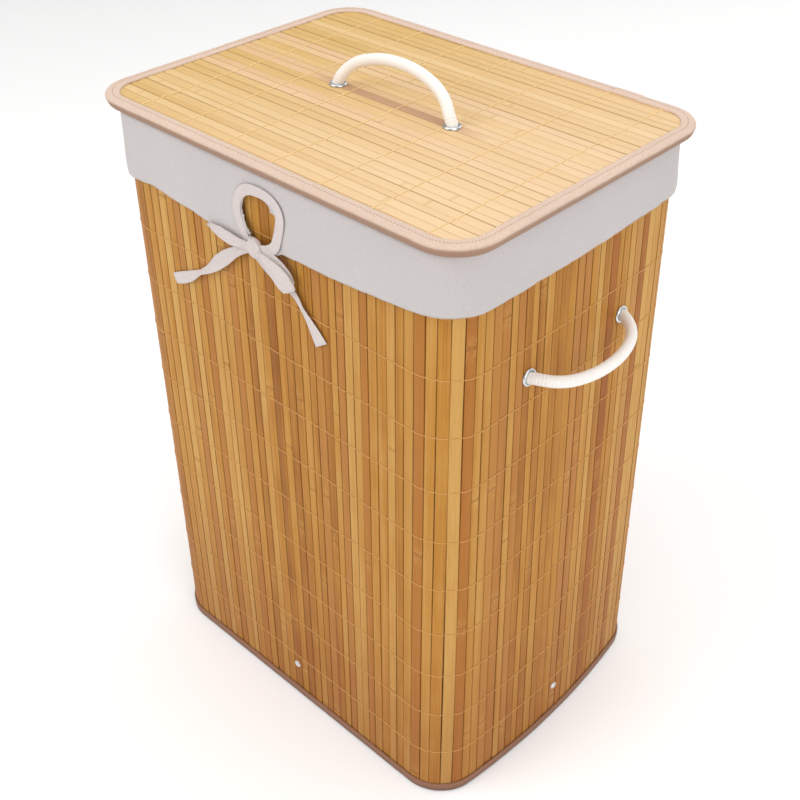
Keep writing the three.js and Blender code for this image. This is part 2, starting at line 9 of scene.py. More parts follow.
import bmesh
import bpy
import numpy as np
from bpy.props import FloatProperty, FloatVectorProperty, PointerProperty
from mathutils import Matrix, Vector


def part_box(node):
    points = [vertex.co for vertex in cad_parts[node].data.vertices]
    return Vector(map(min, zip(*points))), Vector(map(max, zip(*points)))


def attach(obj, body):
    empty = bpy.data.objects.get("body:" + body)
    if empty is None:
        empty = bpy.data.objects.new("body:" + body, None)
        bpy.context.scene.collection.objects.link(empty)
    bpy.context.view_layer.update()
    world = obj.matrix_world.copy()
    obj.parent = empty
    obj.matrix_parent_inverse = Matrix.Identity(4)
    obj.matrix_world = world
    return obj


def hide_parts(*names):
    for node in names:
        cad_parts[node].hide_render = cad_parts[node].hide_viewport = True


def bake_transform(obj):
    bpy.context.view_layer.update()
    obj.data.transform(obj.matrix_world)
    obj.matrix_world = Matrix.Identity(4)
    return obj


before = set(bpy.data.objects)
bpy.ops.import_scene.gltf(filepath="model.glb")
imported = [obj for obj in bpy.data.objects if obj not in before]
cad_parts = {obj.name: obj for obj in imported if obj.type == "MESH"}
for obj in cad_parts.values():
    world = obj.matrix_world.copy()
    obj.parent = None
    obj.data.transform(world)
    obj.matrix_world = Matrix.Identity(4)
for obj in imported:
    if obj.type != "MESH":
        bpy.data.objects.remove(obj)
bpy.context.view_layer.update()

bl_info = {
    "name": "Bamboo Laundry Hamper",
    "version": (1, 0, 0),
    "blender": (4, 5, 0),
    "location": "View3D > Sidebar > Hamper",
    "description": "Draws a slatted laundry hamper with a cloth bag, a hinged lid and rope handles",
    "category": "Add Mesh",
}

MM = 0.001
QUARTER = math.pi / 2


def paint(code):
    """A screen colour, given as a hexadecimal number, as the three linear values that a shader takes."""
    values = [(code >> shift & 255) / 255 for shift in (16, 8, 0)]
    return tuple(v / 12.92 if v <= 0.04045 else ((v + 0.055) / 1.055) ** 2.4 for v in values)


# ---- What a user would change ----

def length(name, description, default):
    return FloatProperty(name=name, description=description, default=default, min=0, unit="LENGTH")


def colour(name, description, code):
    return FloatVectorProperty(
        name=name, description=description, default=paint(code), min=0, max=1, size=3, subtype="COLOR")


class HamperSizes(bpy.types.PropertyGroup):
    """The hamper's own sizes, which the frame's boxes can't tell"""

    width: length("Width", "Long side of the slat mat, without its bulge", 396 * MM)
    floor_depth: length("Floor depth", "Short side of the slat mat at the floor", 316 * MM)
    rim_depth: length("Rim depth", "Short side of the slat mat at the rim", 292 * MM)
    corner: length("Corner", "Radius of the body's corners", 37 * MM)
    floor_bulge: length("Floor bulge", "How far the short sides swell out at the floor", 15 * MM)
    rim_bulge: length("Rim bulge", "How far the short sides swell out at the rim", 3 * MM)
    lid_corner: length("Lid corner", "Radius of the lid's corners", 38 * MM)
    slat_pitch: length("Slat pitch", "Mean width of a slat and the gap beside it", 9.65 * MM)
    slat_gap: length("Slat gap", "Mean gap between two slats", 0.45 * MM)
    slat_thickness: length("Slat thickness", "Thickness of a slat", 2.4 * MM)
    thread_pitch: length("Thread pitch", "Distance between two rows of binding thread", 53.9 * MM)
    thread_start: length("First thread", "Height of the lowest row that shows", 59.1 * MM)
    thread_width: length("Thread width", "Width of the binding thread", 1.05 * MM)
    cloth: length("Cloth", "Thickness of the bag's cotton", 0.9 * MM)
    rope: length("Rope", "Diameter of the handles' rope", 10 * MM)
    handle_span: length("Handle span", "Distance between a handle's two eyelets", 131 * MM)
    handle_rise: length("Handle rise", "Height of a handle's arch over its swing axis", 26.5 * MM)


class HamperColours(bpy.types.PropertyGroup):
    """The colours of the hamper's materials"""

    bamboo: colour("Bamboo", "Middle tone of the body's slats", 0xB67E31)
    bamboo_dark: colour("Dark bamboo", "Darkest slats of the body", 0x8B5018)
    bamboo_light: colour("Light bamboo", "Palest slats of the body", 0xC89A54)
    straw: colour("Straw", "Middle tone of the lid's slats", 0xD2AE70)
    straw_dark: colour("Dark straw", "Darkest slats of the lid", 0xC49A52)
    straw_light: colour("Light straw", "Palest slats of the lid", 0xE0C290)
    thread: colour("Thread", "Binding thread of the body's mat", 0xCE9850)
    lid_thread: colour("Lid thread", "Binding thread of the lid's mat", 0xF2D194)
    body_tape: colour("Body tape", "Binding tape along the foot", 0x956A52)
    # painted highlight: the pale lit colour given to the top of the lid's tape
    lid_tape: colour("Lid tape", "Binding tape round the lid", 0xDDC3B0)
    cotton: colour("Cotton", "The bag", 0xCBC5C4)
    tie: colour("Tie tape", "The bow and the tape round the hole", 0xD6CBC8)
    rope: colour("Rope", "The handles", 0xF3EFEA)
    bamboo_blush: colour("Bamboo blush", "Redder slats of the body", 0xA05C26)
    # the body's slats turn to this darker tone towards the floor
    bamboo_low: colour("Low bamboo", "The body's slats near the floor", 0x86461A)
    straw_blush: colour("Straw blush", "Redder slats of the lid", 0xDDB897)
    # painted highlight: the lid's slats turn to this paler, pinker tone towards the near corner
    straw_highlight: colour("Straw highlight", "The lid's slats towards the near corner", 0xEACBA6)
    # painted shadow of the lid's handle, on the slat between its eyelets
    handle_shadow_tone: colour("Handle shadow", "Painted shadow of the lid's handle on one slat", 0xA0705A)
    # the foot's tape turns to this darker tone towards its lower edge
    foot_low_edge: colour("Foot's lower edge", "Lower edge of the foot's tape", 0x543A2E)
    # painted shade: the darker shaded copy of the lid's tape, on its underside
    lid_tape_shaded: colour("Lid tape's underside", "Lower half of the lid's tape", 0x94705A)
    foot_stitch: colour("Foot stitches", "Stitches of the foot's tape", 0x9C735C)
    lid_stitch: colour("Lid stitches", "Stitches of the lid's tape", 0xB48D7C)
    tab_stitch: colour("Tab stitches", "Stitches of the hinge tabs", 0xC9C2BF)
    backing: colour("Backing", "Cloth behind the body's slats", 0x8A6238)
    lid_board: colour("Lid board", "Board inside the lid", 0xA98657)
    base_board: colour("Base board", "Board at the bottom", 0x9A7A55)
    wire: colour("Wire", "The wires in the edges", 0x8D8F92)
    rivet: colour("Rivet", "The base's rivets", 0xDADBDC)
    nickel: colour("Nickel", "Eyelets and washers", 0xD4D6D8)


# ---- Surfaces ----

def grid_faces(copies, rows, columns):
    """Quads of grids of points that follow each other in one list."""
    corner = np.arange(copies * rows * columns).reshape(copies, rows, columns)
    faces = [corner[:, :-1, :-1], corner[:, :-1, 1:], corner[:, 1:, 1:], corner[:, 1:, :-1]]
    return np.stack(faces, axis=-1).reshape(-1, 4)


def enclosed(points, faces):
    """Six times the volume inside a closed surface: the sum of a . (b x c) over its triangles, which is
    below zero where the faces point inwards."""
    a, b, c, d = (points[faces[:, i]] for i in range(4))
    return (a * np.cross(b, c)).sum() + (a * np.cross(c, d)).sum()


def build(name, points, uv=None, marks=None, keep=None, crease=None, open_sheet=False):
    """A mesh from one grid of points or from several. Grid edges that meet are welded, which closes seams
    and poles. `uv` and `marks` hold a value for each point, and `keep` says which faces stay."""
    points = points if points.ndim == 4 else points[None]
    copies, rows, columns = points.shape[:3]
    flat = points.reshape(-1, 3)
    faces = grid_faces(copies, rows, columns)
    if keep is not None:
        faces = faces[keep.ravel()]
    if not open_sheet and enclosed(flat, faces) < 0:
        faces = faces[:, ::-1]
    data = bpy.data.meshes.new(name)
    data.vertices.add(len(flat))
    data.vertices.foreach_set("co", flat.ravel())
    data.loops.add(faces.size)
    data.loops.foreach_set("vertex_index", faces.ravel())
    data.polygons.add(len(faces))
    data.polygons.foreach_set("loop_start", np.arange(0, faces.size, 4))
    data.update(calc_edges=True)
    if uv is not None:
        layer = data.uv_layers.new(name="UVMap")
        layer.uv.foreach_set("vector", uv.reshape(-1, 2)[faces.ravel()].ravel())
    for mark, values in (marks or {}).items():
        values = np.broadcast_to(values, points.shape[:3])
        data.attributes.new(mark, "FLOAT", "POINT").data.foreach_set("value", values.ravel())
    welded = bmesh.new()
    welded.from_mesh(data)
    bmesh.ops.remove_doubles(welded, verts=welded.verts, dist=2e-6)
    bmesh.ops.delete(welded, geom=[v for v in welded.verts if not v.link_faces], context="VERTS")
    welded.to_mesh(data)
    welded.free()
    data.polygons.foreach_set("use_smooth", np.ones(len(data.polygons), bool))
    if crease is not None:
        data.set_sharp_from_angle(angle=crease)
    piece = bpy.data.objects.new(name, data)
    bpy.context.scene.collection.objects.link(piece)
    return piece


def settle(piece, material, body, slot, *nodes):
    """Gives a piece its material, its body and the nodes that it stands for. Its slot is not used."""
    piece.data.materials.clear()
    piece.data.materials.append(material)
    if body is not None:
        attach(piece, body)
    if nodes:
        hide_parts(*nodes)
    return piece


def dress(material, *nodes):
    """Gives CAD nodes that stay a procedural material."""
    for node in nodes:
        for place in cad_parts[node].material_slots:
            place.material = material


def unit(vectors):
    return vectors / np.linalg.norm(vectors, axis=-1, keepdims=True)


def travelled(points):
    """Distance along a line of points, at each of them."""
    return np.r_[0, np.cumsum(np.linalg.norm(np.diff(points, axis=0), axis=1))]


def spread(*values):
    """Arrays spread over each other's shape and put side by side, as coordinates of one grid."""
    return np.stack(np.broadcast_arrays(*values), -1)


def route(points, count):
    """A smooth line through points: each stretch is a cubic whose end slopes follow the neighbours."""
    points = np.asarray(points, float)
    chord = travelled(points)
    slopes = np.gradient(points, chord, axis=0)
    at = np.linspace(0, chord[-1], count)
    i = np.clip(np.searchsorted(chord, at, side="right") - 1, 0, len(points) - 2)
    span = (chord[i + 1] - chord[i])[:, None]
    t = (at - chord[i])[:, None] / span
    start = (2 * t**3 - 3 * t**2 + 1) * points[i] + (t**3 - 2 * t**2 + t) * span * slopes[i]
    return start + (3 * t**2 - 2 * t**3) * points[i + 1] + (t**3 - t**2) * span * slopes[i + 1]


def sweep(line, side, up, section):
    """A section carried along a line: point = line + across x side + rise x up. The section is a list of
    (across, rise) points, or one such list for each station of the line."""
    section = np.broadcast_to(section, (len(line), *np.shape(section)[-2:]))
    return line[:, None] + section[..., :1] * side[:, None] + section[..., 1:] * up[:, None]


def capped(points):
    """A tube of rings with each end drawn together to the middle of its last ring."""
    ends = points.mean(axis=-2, keepdims=True) + 0 * points
    return np.concatenate([ends[..., :1, :, :], points, ends[..., -1:, :, :]], axis=-3)


def looped(values, axis=-2):
    """A grid whose first column is repeated at its end, so that it closes on itself."""
    return np.concatenate([values, np.take(values, [0], axis)], axis)


def oval(across, rise, sides):
    """Points round an ellipse, as a closed section."""
    turn = np.linspace(0, 2 * math.pi, sides + 1)
    return np.stack([across * np.cos(turn), rise * np.sin(turn)], -1)


def ripple(at, seed, *waves):
    """A smooth uneven line: sines of the given lengths added up, each with a phase of its own."""
    phases = np.random.default_rng(seed).uniform(0, 2 * math.pi, len(waves))
    return sum(np.sin(2 * math.pi * at / wave + phase) for wave, phase in zip(waves, phases)) / len(waves)


def ease(low, high, values):
    """0 below `low`, 1 above `high`, and a smooth turn between them."""
    t = np.clip((values - low) / (high - low), 0, 1)
    return t * t * (3 - 2 * t)


# ---- The hamper's own shape ----

def sizes():
    return bpy.context.scene.hamper_sizes


def colours():
    return bpy.context.scene.hamper_colours


def girth(width, depth, corner):
    """Length of a rounded rectangle's edge."""
    return 2 * (width + depth) - 8 * corner + 2 * math.pi * corner


def walk(s, width, depth, corner):
    """The point and the outward direction at a distance s round a rounded rectangle, anticlockwise from
    the start of its front run. Each of its four quarters is a straight run and then a quarter circle."""
    runs = np.array([width, depth, width, depth]) - 2 * corner
    starts = np.r_[0, np.cumsum(runs + corner * QUARTER)]
    s = np.mod(s, starts[-1])
    side = np.clip(np.searchsorted(starts, s, side="right") - 1, 0, 3)
    along = s - starts[side]
    straight = np.minimum(along, runs[side])
    turn = (along - straight) / corner
    travel = np.stack([np.cos(side * QUARTER), np.sin(side * QUARTER)], -1)
    out = np.stack([np.sin(side * QUARTER), -np.cos(side * QUARTER)], -1)
    x, y = width / 2, depth / 2
    first = np.array([[corner - x, -y], [x, corner - y], [x - corner, y], [-x, y - corner]])[side]
    forward = (straight + corner * np.sin(turn))[..., None] * travel
    point = first + forward - (corner * (1 - np.cos(turn)))[..., None] * out
    facing = np.cos(turn)[..., None] * out + np.sin(turn)[..., None] * travel
    return point, facing


def lean(x, y, z):
    """The body's shape over a straight rounded box: the long sides lean in with height, and the short
    sides swell outwards in the middle, less towards the rim."""
    size = sizes()
    rise = z / RIM
    bulge = size.floor_bulge + (size.rim_bulge - size.floor_bulge) * rise
    depth = 1 + (size.rim_depth / size.floor_depth - 1) * rise
    across = 2 * y / size.floor_depth
    return np.stack([x + 2 * x / size.width * bulge * (1 - across**2), y * depth, z + 0 * x], -1)


def body_girth():
    return girth(sizes().width, sizes().floor_depth, sizes().corner)


def on_body(s, inset, z):
    """The body's point at a distance round it, an inset from its outer face and a height."""
    point, out = walk(s, sizes().width, sizes().floor_depth, sizes().corner)
    flat = point - out * np.asarray(inset)[..., None]
    return lean(flat[..., 0], flat[..., 1], z)


def wall_frame(side, along, height, proud=0.0):
    """The frame at a place on a wall: its origin, and its directions along the wall, up it and out."""
    half_width, half_depth = sizes().width / 2, sizes().floor_depth / 2
    place = {
        "front": lambda t: (t, -half_depth), "right": lambda t: (half_width, t),
        "back": lambda t: (-t, half_depth), "left": lambda t: (-half_width, -t),
    }[side]

    def at(t, z):
        return lean(*(np.float64(v) for v in place(t)), np.float64(z))

    along_wall = unit(at(along + MM, height) - at(along - MM, height))
    up = unit(at(along, height + MM) - at(along, height - MM))
    out = unit(np.cross(along_wall, up))
    return at(along, height) + out * proud, along_wall, np.cross(out, along_wall), out


def on_front(places):
    """Places on the front wall, listed as x, height and how far they stand proud, in millimetres."""
    x, z, proud = (np.asarray(places, float)[..., i] * MM for i in range(3))
    wall = lean(x, 0 * x - sizes().floor_depth / 2, z)
    return wall - np.stack([0 * x, proud, 0 * x], -1)


def profiled(s, profile, place):
    """A closed profile of (inset, height) points, in millimetres, carried round an edge by `place`."""
    inset, height = looped(np.asarray(profile, float) * MM, 0).T
    return place(np.repeat(s[:, None], len(inset), 1), inset + 0 * s[:, None], height + 0 * s[:, None])


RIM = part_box("front_slats")[1].z
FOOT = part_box("front_slats")[0].z
LID_LOW, LID_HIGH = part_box("lid_binding")
LID_MAT_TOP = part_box("lid_slats")[1].z
HANDLE_HEIGHT = (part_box("left_handle_first_eyelet")[0].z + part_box("left_handle_first_eyelet")[1].z) / 2
EYELET_RADIUS = (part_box("lid_handle_left_eyelet")[1].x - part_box("lid_handle_left_eyelet")[0].x) / 2
SWING_HEIGHT = 7.5 * MM  # of a handle's swing axis over its surface
RING_PITCH = 0.29  # distance between a slat's growth rings
WIRE_ROUGHNESS = 0.35
THREAD_HALF_RISE = 0.32 * MM
THREAD_SUNK = 0.3 * MM  # how far a thread dips into a gap, and how proud it lies on a slat
STITCH_TWIST = 900  # turns of a stitch's thread in a metre
BRAID_PITCH = 5.2 * MM  # length of the rope over which its strands cross once
BRAID_STRANDS = 8  # of each slant, round the rope
CLOTH_THREAD, CLOTH_DEPTH = 0.55 * MM, 0.14 * MM  # spacing and relief of the bag's weave


# ---- Shader maths ----

class Wire:
    """An output socket. Arithmetic on it adds the Math nodes."""

    def __init__(self, finish, socket):
        self.finish, self.socket = finish, socket

    def math(self, operation, *values):
        return self.finish.node("ShaderNodeMath", {"operation": operation}, dict(enumerate(values)))

    def __add__(self, other):
        return self.math("ADD", self, other)

    def __sub__(self, other):
        return self.math("SUBTRACT", self, other)

    def __rsub__(self, other):
        return self.math("SUBTRACT", other, self)

    def __mul__(self, other):
        return self.math("MULTIPLY", self, other)

    def __mod__(self, other):
        return self.math("FLOORED_MODULO", self, other)

    def __abs__(self):
        return self.math("ABSOLUTE", self)

    __radd__ = __add__
    __rmul__ = __mul__

    def sine(self):
        return self.math("SINE", self)

    def above(self, low, high):
        """0 at `low`, 1 at `high` and level outside them; `low` may be the larger."""
        return self.finish.node(
            "ShaderNodeMapRange", {"interpolation_type": "SMOOTHSTEP"},
            {0: self, 1: low, 2: high, 3: 0.0, 4: 1.0})


class Finish:
    """A material in the making, with a Principled shader at its end."""

    def __init__(self, name, roughness=0.6, metallic=0.0, sheen=0.0, specular=0.5):
        self.material = bpy.data.materials.new(name)
        self.material.use_nodes = True
        self.tree = self.material.node_tree
        self.shader = self.tree.nodes["Principled BSDF"]
        constants = {
            "Roughness": roughness, "Metallic": metallic, "Sheen Weight": sheen,
            "Specular IOR Level": specular,
        }
        self.feed(self.shader, constants)

    def feed(self, node, inputs):
        for key, value in inputs.items():
            if isinstance(value, Wire):
                self.tree.links.new(value.socket, node.inputs[key])
            elif node.inputs[key].type == "RGBA":
                node.inputs[key].default_value = (*value[:3], 1)
            else:
                node.inputs[key].default_value = value

    def node(self, kind, settings=None, inputs=None, output=0):
        """Any node: its settings first, a ramp's stops among them, and then its sockets."""
        new = self.tree.nodes.new(kind)
        for key, value in (settings or {}).items():
            if key == "stops":
                ramp = new.color_ramp.elements
                for place in range(len(ramp), len(value)):
                    ramp.new(place / len(value))
                for stop, (place, tone) in zip(ramp, value):
                    stop.position, stop.color = place, (*tone, 1)
            else:
                setattr(new, key, value)
        self.feed(new, inputs or {})
        return Wire(self, new.outputs[output])

    def mark(self, name):
        """A value that the piece's mesh holds at each point."""
        return self.node("ShaderNodeAttribute", {"attribute_name": name}, output="Fac")

    def coordinates(self, kind="Object"):
        """X, Y and Z of the piece's Object or UV coordinates, in metres."""
        where = self.node("ShaderNodeTexCoord", output=kind)
        return [self.node("ShaderNodeSeparateXYZ", inputs={0: where}, output=i) for i in range(3)]

    def noise(self, x, y, z, detail=2.0, rough=0.5):
        """Smooth noise over coordinates that come multiplied by its number of waves in a metre."""
        where = self.node("ShaderNodeCombineXYZ", inputs={0: x, 1: y, 2: z})
        settings = {"noise_dimensions": "3D"}
        return self.node("ShaderNodeTexNoise", settings, {"Vector": where, "Scale": 1.0, "Detail": detail,
                                                          "Roughness": rough})

    def ramp(self, value, *stops):
        return self.node("ShaderNodeValToRGB", {"stops": stops}, {0: value})

    def mix(self, share, first, second, blend="MIX"):
        settings = {"data_type": "RGBA", "blend_type": blend, "clamp_factor": True}
        return self.node("ShaderNodeMix", settings, {0: share, 6: first, 7: second}, output=2)

    def bump(self, height, distance, strength=1.0):
        return self.node("ShaderNodeBump", inputs={"Strength": strength, "Distance": distance,
                                                   "Height": height})

    def done(self, **surface):
        """Feeds the shader, its sockets named with underscores for spaces, and gives the material."""
        self.feed(self.shader, {key.replace("_", " "): value for key, value in surface.items()})
        return self.material


def shade(tone, share):
    """A colour made darker or, above 1, paler."""
    return tuple(min(1.0, v * share) for v in tone)


def bamboo(name, dark, middle, light, blush, worn, contrast):
    """Split bamboo: each slat has a tone of its own and long grain, some are redder or have a growth
    ring, and each slat's face turns darker towards its edges, as painted shade beside the gaps. A mark
    of the mesh brings in a second tone: on the body darker slats towards the floor, and on the lid a
    painted highlight, paler slats towards the near corner. Another mark brings in the painted shadow of
    the lid's handle."""
    finish = Finish(name, specular=0.2)
    u, v, _ = finish.coordinates("UV")
    tone, seed, across, tint_and_light_share = (finish.mark(mark) for mark in ("tone", "seed", "across", "worn"))
    streak = finish.noise(u * 700, v * 7, seed * 91, detail=3.0, rough=0.6)
    band = finish.noise(u * 240, v * 4, seed * 37, detail=2.0)
    fibre = finish.noise(u * 3200, v * 30, seed * 17, detail=2.0)
    blotch = finish.noise(u * 40, v * 16, seed * 53, detail=2.0)
    mottle = finish.noise(u * 900, v * 420, seed * 29, detail=2.0)
    value = (tone * 0.62 + blotch * 0.40 + band * 0.45 + streak * 0.45 - 0.96) * contrast + 0.5
    stops = ((0.0, dark), (0.45, middle), (0.9, light))
    base = finish.ramp(value, *stops)
    red = seed.above(0.74, 0.80) * (blotch * 0.7 + 0.15)
    base = finish.mix(red, base, blush)
    # a second tone from a mark: on the lid a painted highlight towards the near corner, on the body darker
    # slats towards the floor
    base = finish.mix(tint_and_light_share, base, worn)
    # painted shadow of the lid's handle on the slat between its eyelets
    base = finish.mix(finish.mark("odd"), base, colours().handle_shadow_tone)
    # growth rings, on the slats whose seed is high
    ring = abs((v + seed * 0.83) % RING_PITCH - RING_PITCH / 2) + streak * 0.004 - 0.002
    shows = seed.above(0.35, 0.4)
    line = ring.above(0.0022, 0.0006) * shows
    halo = ring.above(0.016, 0.003) * shows * mottle.above(0.42, 0.62)
    base = finish.mix(halo * 0.35, base, shade(light, 1.1))
    base = finish.mix(line * 0.3 * contrast, base, shade(dark, 0.8))
    base = finish.mix(fibre.above(0.54, 0.75) * 0.25 * contrast, base, shade(dark, 0.9))
    # painted shade: each slat's face turns darker towards its edges, beside the gaps
    edge = abs(across).above(0.90, 1.0)
    base = finish.mix(edge * 0.42 * contrast, base, shade(dark, 0.6))
    rough = streak * 0.18 + 0.46
    height = streak * 0.5 + fibre * 0.35 + line * 1.2
    return finish.done(Base_Color=base, Roughness=rough, Normal=finish.bump(height, 0.00018))


def woven(name, tone, thread=0.45 * MM, depth=0.12 * MM, soil=0.06, twill=False, worn=None):
    """Woven cotton on the piece's own UV map: warp and weft threads over and under each other, or a
    twill's slanting ribs, with uneven thread and tone. A mark of the mesh brings in a second tone: a
    darker lower edge on the foot's tape, and the painted shade of the lid tape's underside."""
    finish = Finish(name, roughness=0.92, sheen=0.12, specular=0.25)
    u, v, _ = finish.coordinates("UV")
    turns = 2 * math.pi / thread
    wander = finish.noise(u * 160, v * 160, 0.0, detail=2.0)
    if twill:
        weave = ((u + v) * turns * 0.5 + wander * 2.0).sine() * 0.5 + 0.5
    else:
        weave = (u * turns + wander * 2.5).sine() * (v * turns + wander * 2.5).sine() * 0.5 + 0.5
    slub = finish.noise(u * 900, v * 90, 3.0, detail=2.0)
    slub_up = finish.noise(u * 90, v * 900, 7.0, detail=2.0)
    cloud = finish.noise(u * 14, v * 14, 1.0, detail=3.0)
    mottle = finish.noise(u * 420, v * 420, 9.0, detail=3.0, rough=0.65)
    base = finish.mix(cloud.above(0.35, 0.7) * soil * 4, tone, shade(tone, 0.86))
    base = finish.mix(mottle.above(0.42, 0.66) * soil * 5, base, shade(tone, 0.80))
    base = finish.mix(weave * 0.16, base, shade(tone, 0.72))
    base = finish.mix(slub.above(0.6, 0.8) * 0.16, base, shade(tone, 1.1))
    # a second tone from a mark: on the lid's tape the painted shade of its underside, on the foot's tape a
    # darker lower edge
    if worn is not None:
        base = finish.mix(finish.mark("worn"), base, worn)
    height = weave * 0.7 + slub * 0.6 + slub_up * 0.6 + mottle * 0.8
    return finish.done(Base_Color=base, Normal=finish.bump(height, depth))


def spun(name, tone, turns_per_metre=420):
    """Twisted thread: fine slanting ribs along and round it."""
    finish = Finish(name, roughness=0.62, sheen=0.1)
    u, v, _ = finish.coordinates("UV")
    twist = (u * 2 * math.pi * turns_per_metre + v * 2 * math.pi).sine() * 0.5 + 0.5
    patch = finish.noise(u * 60, v, 0.0)
    base = finish.mix(twist * 0.35, tone, shade(tone, 0.7))
    base = finish.mix(patch.above(0.45, 0.65) * 0.35, base, shade(tone, 1.18))
    return finish.done(Base_Color=base, Normal=finish.bump(twist, 0.0001))


def braided(name, tone):
    """Braided cotton rope: two crossing sets of flat strands, on a UV map that runs along and round it."""
    finish = Finish(name, roughness=0.85, sheen=0.2, specular=0.3)
    u, v, _ = finish.coordinates("UV")
    along, turn = u * (2 * math.pi / BRAID_PITCH), v * (2 * math.pi * BRAID_STRANDS)
    left, right = (along + turn).sine(), (along - turn).sine()
    strands = left * right * 0.5 + 0.5
    fuzz = finish.noise(u * 2400, v * 40, 0.0, detail=2.0)
    soil = finish.noise(u * 40, v * 2, 5.0)
    base = finish.mix(strands * 0.10, tone, shade(tone, 0.78))
    base = finish.mix(soil.above(0.5, 0.75) * 0.15, base, shade(tone, 0.92))
    height = strands + fuzz * 0.5
    return finish.done(Base_Color=base, Normal=finish.bump(height, 0.00028))


def plated(name, tone, rough):
    """Plated or drawn metal with fine scratches and a little tarnish."""
    finish = Finish(name, metallic=1.0)
    x, y, z = finish.coordinates()
    scratch = finish.noise(x * 900, y * 900, z * 2400, detail=3.0)
    cloud = finish.noise(x * 120, y * 120, z * 120, detail=2.0)
    base = finish.mix(cloud.above(0.4, 0.75) * 0.4, tone, shade(tone, 0.72))
    return finish.done(Base_Color=base, Roughness=scratch * 0.22 + rough,
                       Normal=finish.bump(scratch, 0.00003))


def pressed_board(name, tone):
    """Pressed wood fibre: flecks of paler and darker fibre over a flat brown."""
    finish = Finish(name, roughness=0.82)
    x, y, z = finish.coordinates()
    fleck = finish.noise(x * 520, y * 210, z * 520, detail=3.0, rough=0.65)
    cloud = finish.noise(x * 18, y * 18, z * 18, detail=2.0)
    base = finish.ramp(fleck * 0.8 + cloud * 0.2, (0.35, shade(tone, 0.62)), (0.5, tone),
                       (0.68, shade(tone, 1.35)))
    return finish.done(Base_Color=base, Normal=finish.bump(fleck, 0.0002))


def gauze(name, tone):
    """Open cotton gauze on Object coordinates, for cloth that lies flat on the frame."""
    finish = Finish(name, roughness=0.95, sheen=0.05, specular=0.2)
    x, y, z = finish.coordinates()
    turns = 2 * math.pi / (1.1 * MM)
    mesh = ((x + y) * turns).sine() * ((z + x - y) * turns).sine() * 0.5 + 0.5
    cloud = finish.noise(x * 30, y * 30, z * 30, detail=3.0)
    base = finish.mix(mesh * 0.35, tone, shade(tone, 0.7))
    base = finish.mix(cloud.above(0.4, 0.7) * 0.25, base, shade(tone, 0.85))
    return finish.done(Base_Color=base, Normal=finish.bump(mesh, 0.00012))


# ---- Stage ----

class HAMPER_OT_stage(bpy.types.Operator):
    """Make the pale floor, the soft studio light and the camera"""

    bl_idname = "hamper.stage"
    bl_label = "Stage"

    CAMERA = (0.64131, -0.65230, 0.99037)
    TILT, TURN = 36.94, 42.65  # degrees down from level, and to the left of straight back
    LENS = 52.22
    SHIFT = (-0.0363, -0.0020)
    # each soft box: name, place, width and power
    LIGHTS = (
        ("Key", (-1.3, -2.3, 2.3), 2.2, 45), ("Fill", (2.6, -0.9, 1.5), 2.0, 30),
        ("Top", (0.2, 0.3, 2.9), 2.4, 28), ("Back", (0.4, 2.8, 1.8), 2.2, 18),
    )
    AIM = 0.3  # height that the soft boxes face
    FLOOR_GLOW = 0.13

    def execute(self, context):
        scene = context.scene
        scene.view_settings.view_transform = "Standard"
        camera = bpy.data.objects.new("Camera", bpy.data.cameras.new("Camera"))
        camera.location = self.CAMERA
        camera.rotation_euler = (math.radians(90 - self.TILT), 0, math.radians(self.TURN))
        camera.data.lens = self.LENS
        camera.data.shift_x, camera.data.shift_y = self.SHIFT
        camera.data.clip_start, camera.data.clip_end = 0.05, 50
        scene.collection.objects.link(camera)
        scene.camera = camera
        self.floor()
        for lamp in self.LIGHTS:
            self.light(*lamp)
        world = bpy.data.worlds.new("Studio")
        world.use_nodes = True
        sky = world.node_tree.nodes["Background"]
        sky.inputs["Color"].default_value = (1.0, 0.99, 0.98, 1)
        sky.inputs["Strength"].default_value = 0.5
        scene.world = world
        return {"FINISHED"}

    def light(self, name, place, across, power):
        """A square soft box that faces the middle of the hamper."""
        lamp = bpy.data.lights.new(name, "AREA")
        lamp.size, lamp.energy = across, power
        box = bpy.data.objects.new(name, lamp)
        x, y, z = place[0], place[1], place[2] - self.AIM
        box.location = place
        box.rotation_euler = (math.atan2(math.hypot(x, y), z), 0, math.atan2(y, x) + QUARTER)
        bpy.context.scene.collection.objects.link(box)

    def floor(self):
        """A wide disc just under the hamper: radius and angle over a grid."""
        radius = np.array([0.0, 0.5, 2.0, 9.0])[:, None]
        turn = np.linspace(0, 2 * math.pi, 49)
        points = np.stack([radius * np.cos(turn), radius * np.sin(turn), 0 * radius * turn - 0.5 * MM], -1)
        floor = build("studio_floor", points, open_sheet=True)
        finish = Finish("Pale floor", roughness=0.9, specular=0.1)
        x, y, _ = finish.coordinates()
        cloud = finish.noise(x * 3, y * 3, 0.0)
        base = finish.mix(cloud * 0.1, (0.93, 0.93, 0.93), (0.88, 0.88, 0.88))
        finish.shader.inputs["Emission Strength"].default_value = self.FLOOR_GLOW
        floor.data.materials.append(finish.done(Base_Color=base, Emission_Color=base))


# ---- Slat mats ----

# across in half widths of a slat and depth in thicknesses, from the inner left edge round the outside
SLAT_SECTION = ((-0.94, 1.0), (-1.0, 0.22), (-0.94, 0.05), (-0.6, 0.0), (0.6, 0.0), (0.94, 0.05),
                (1.0, 0.22), (0.94, 1.0))


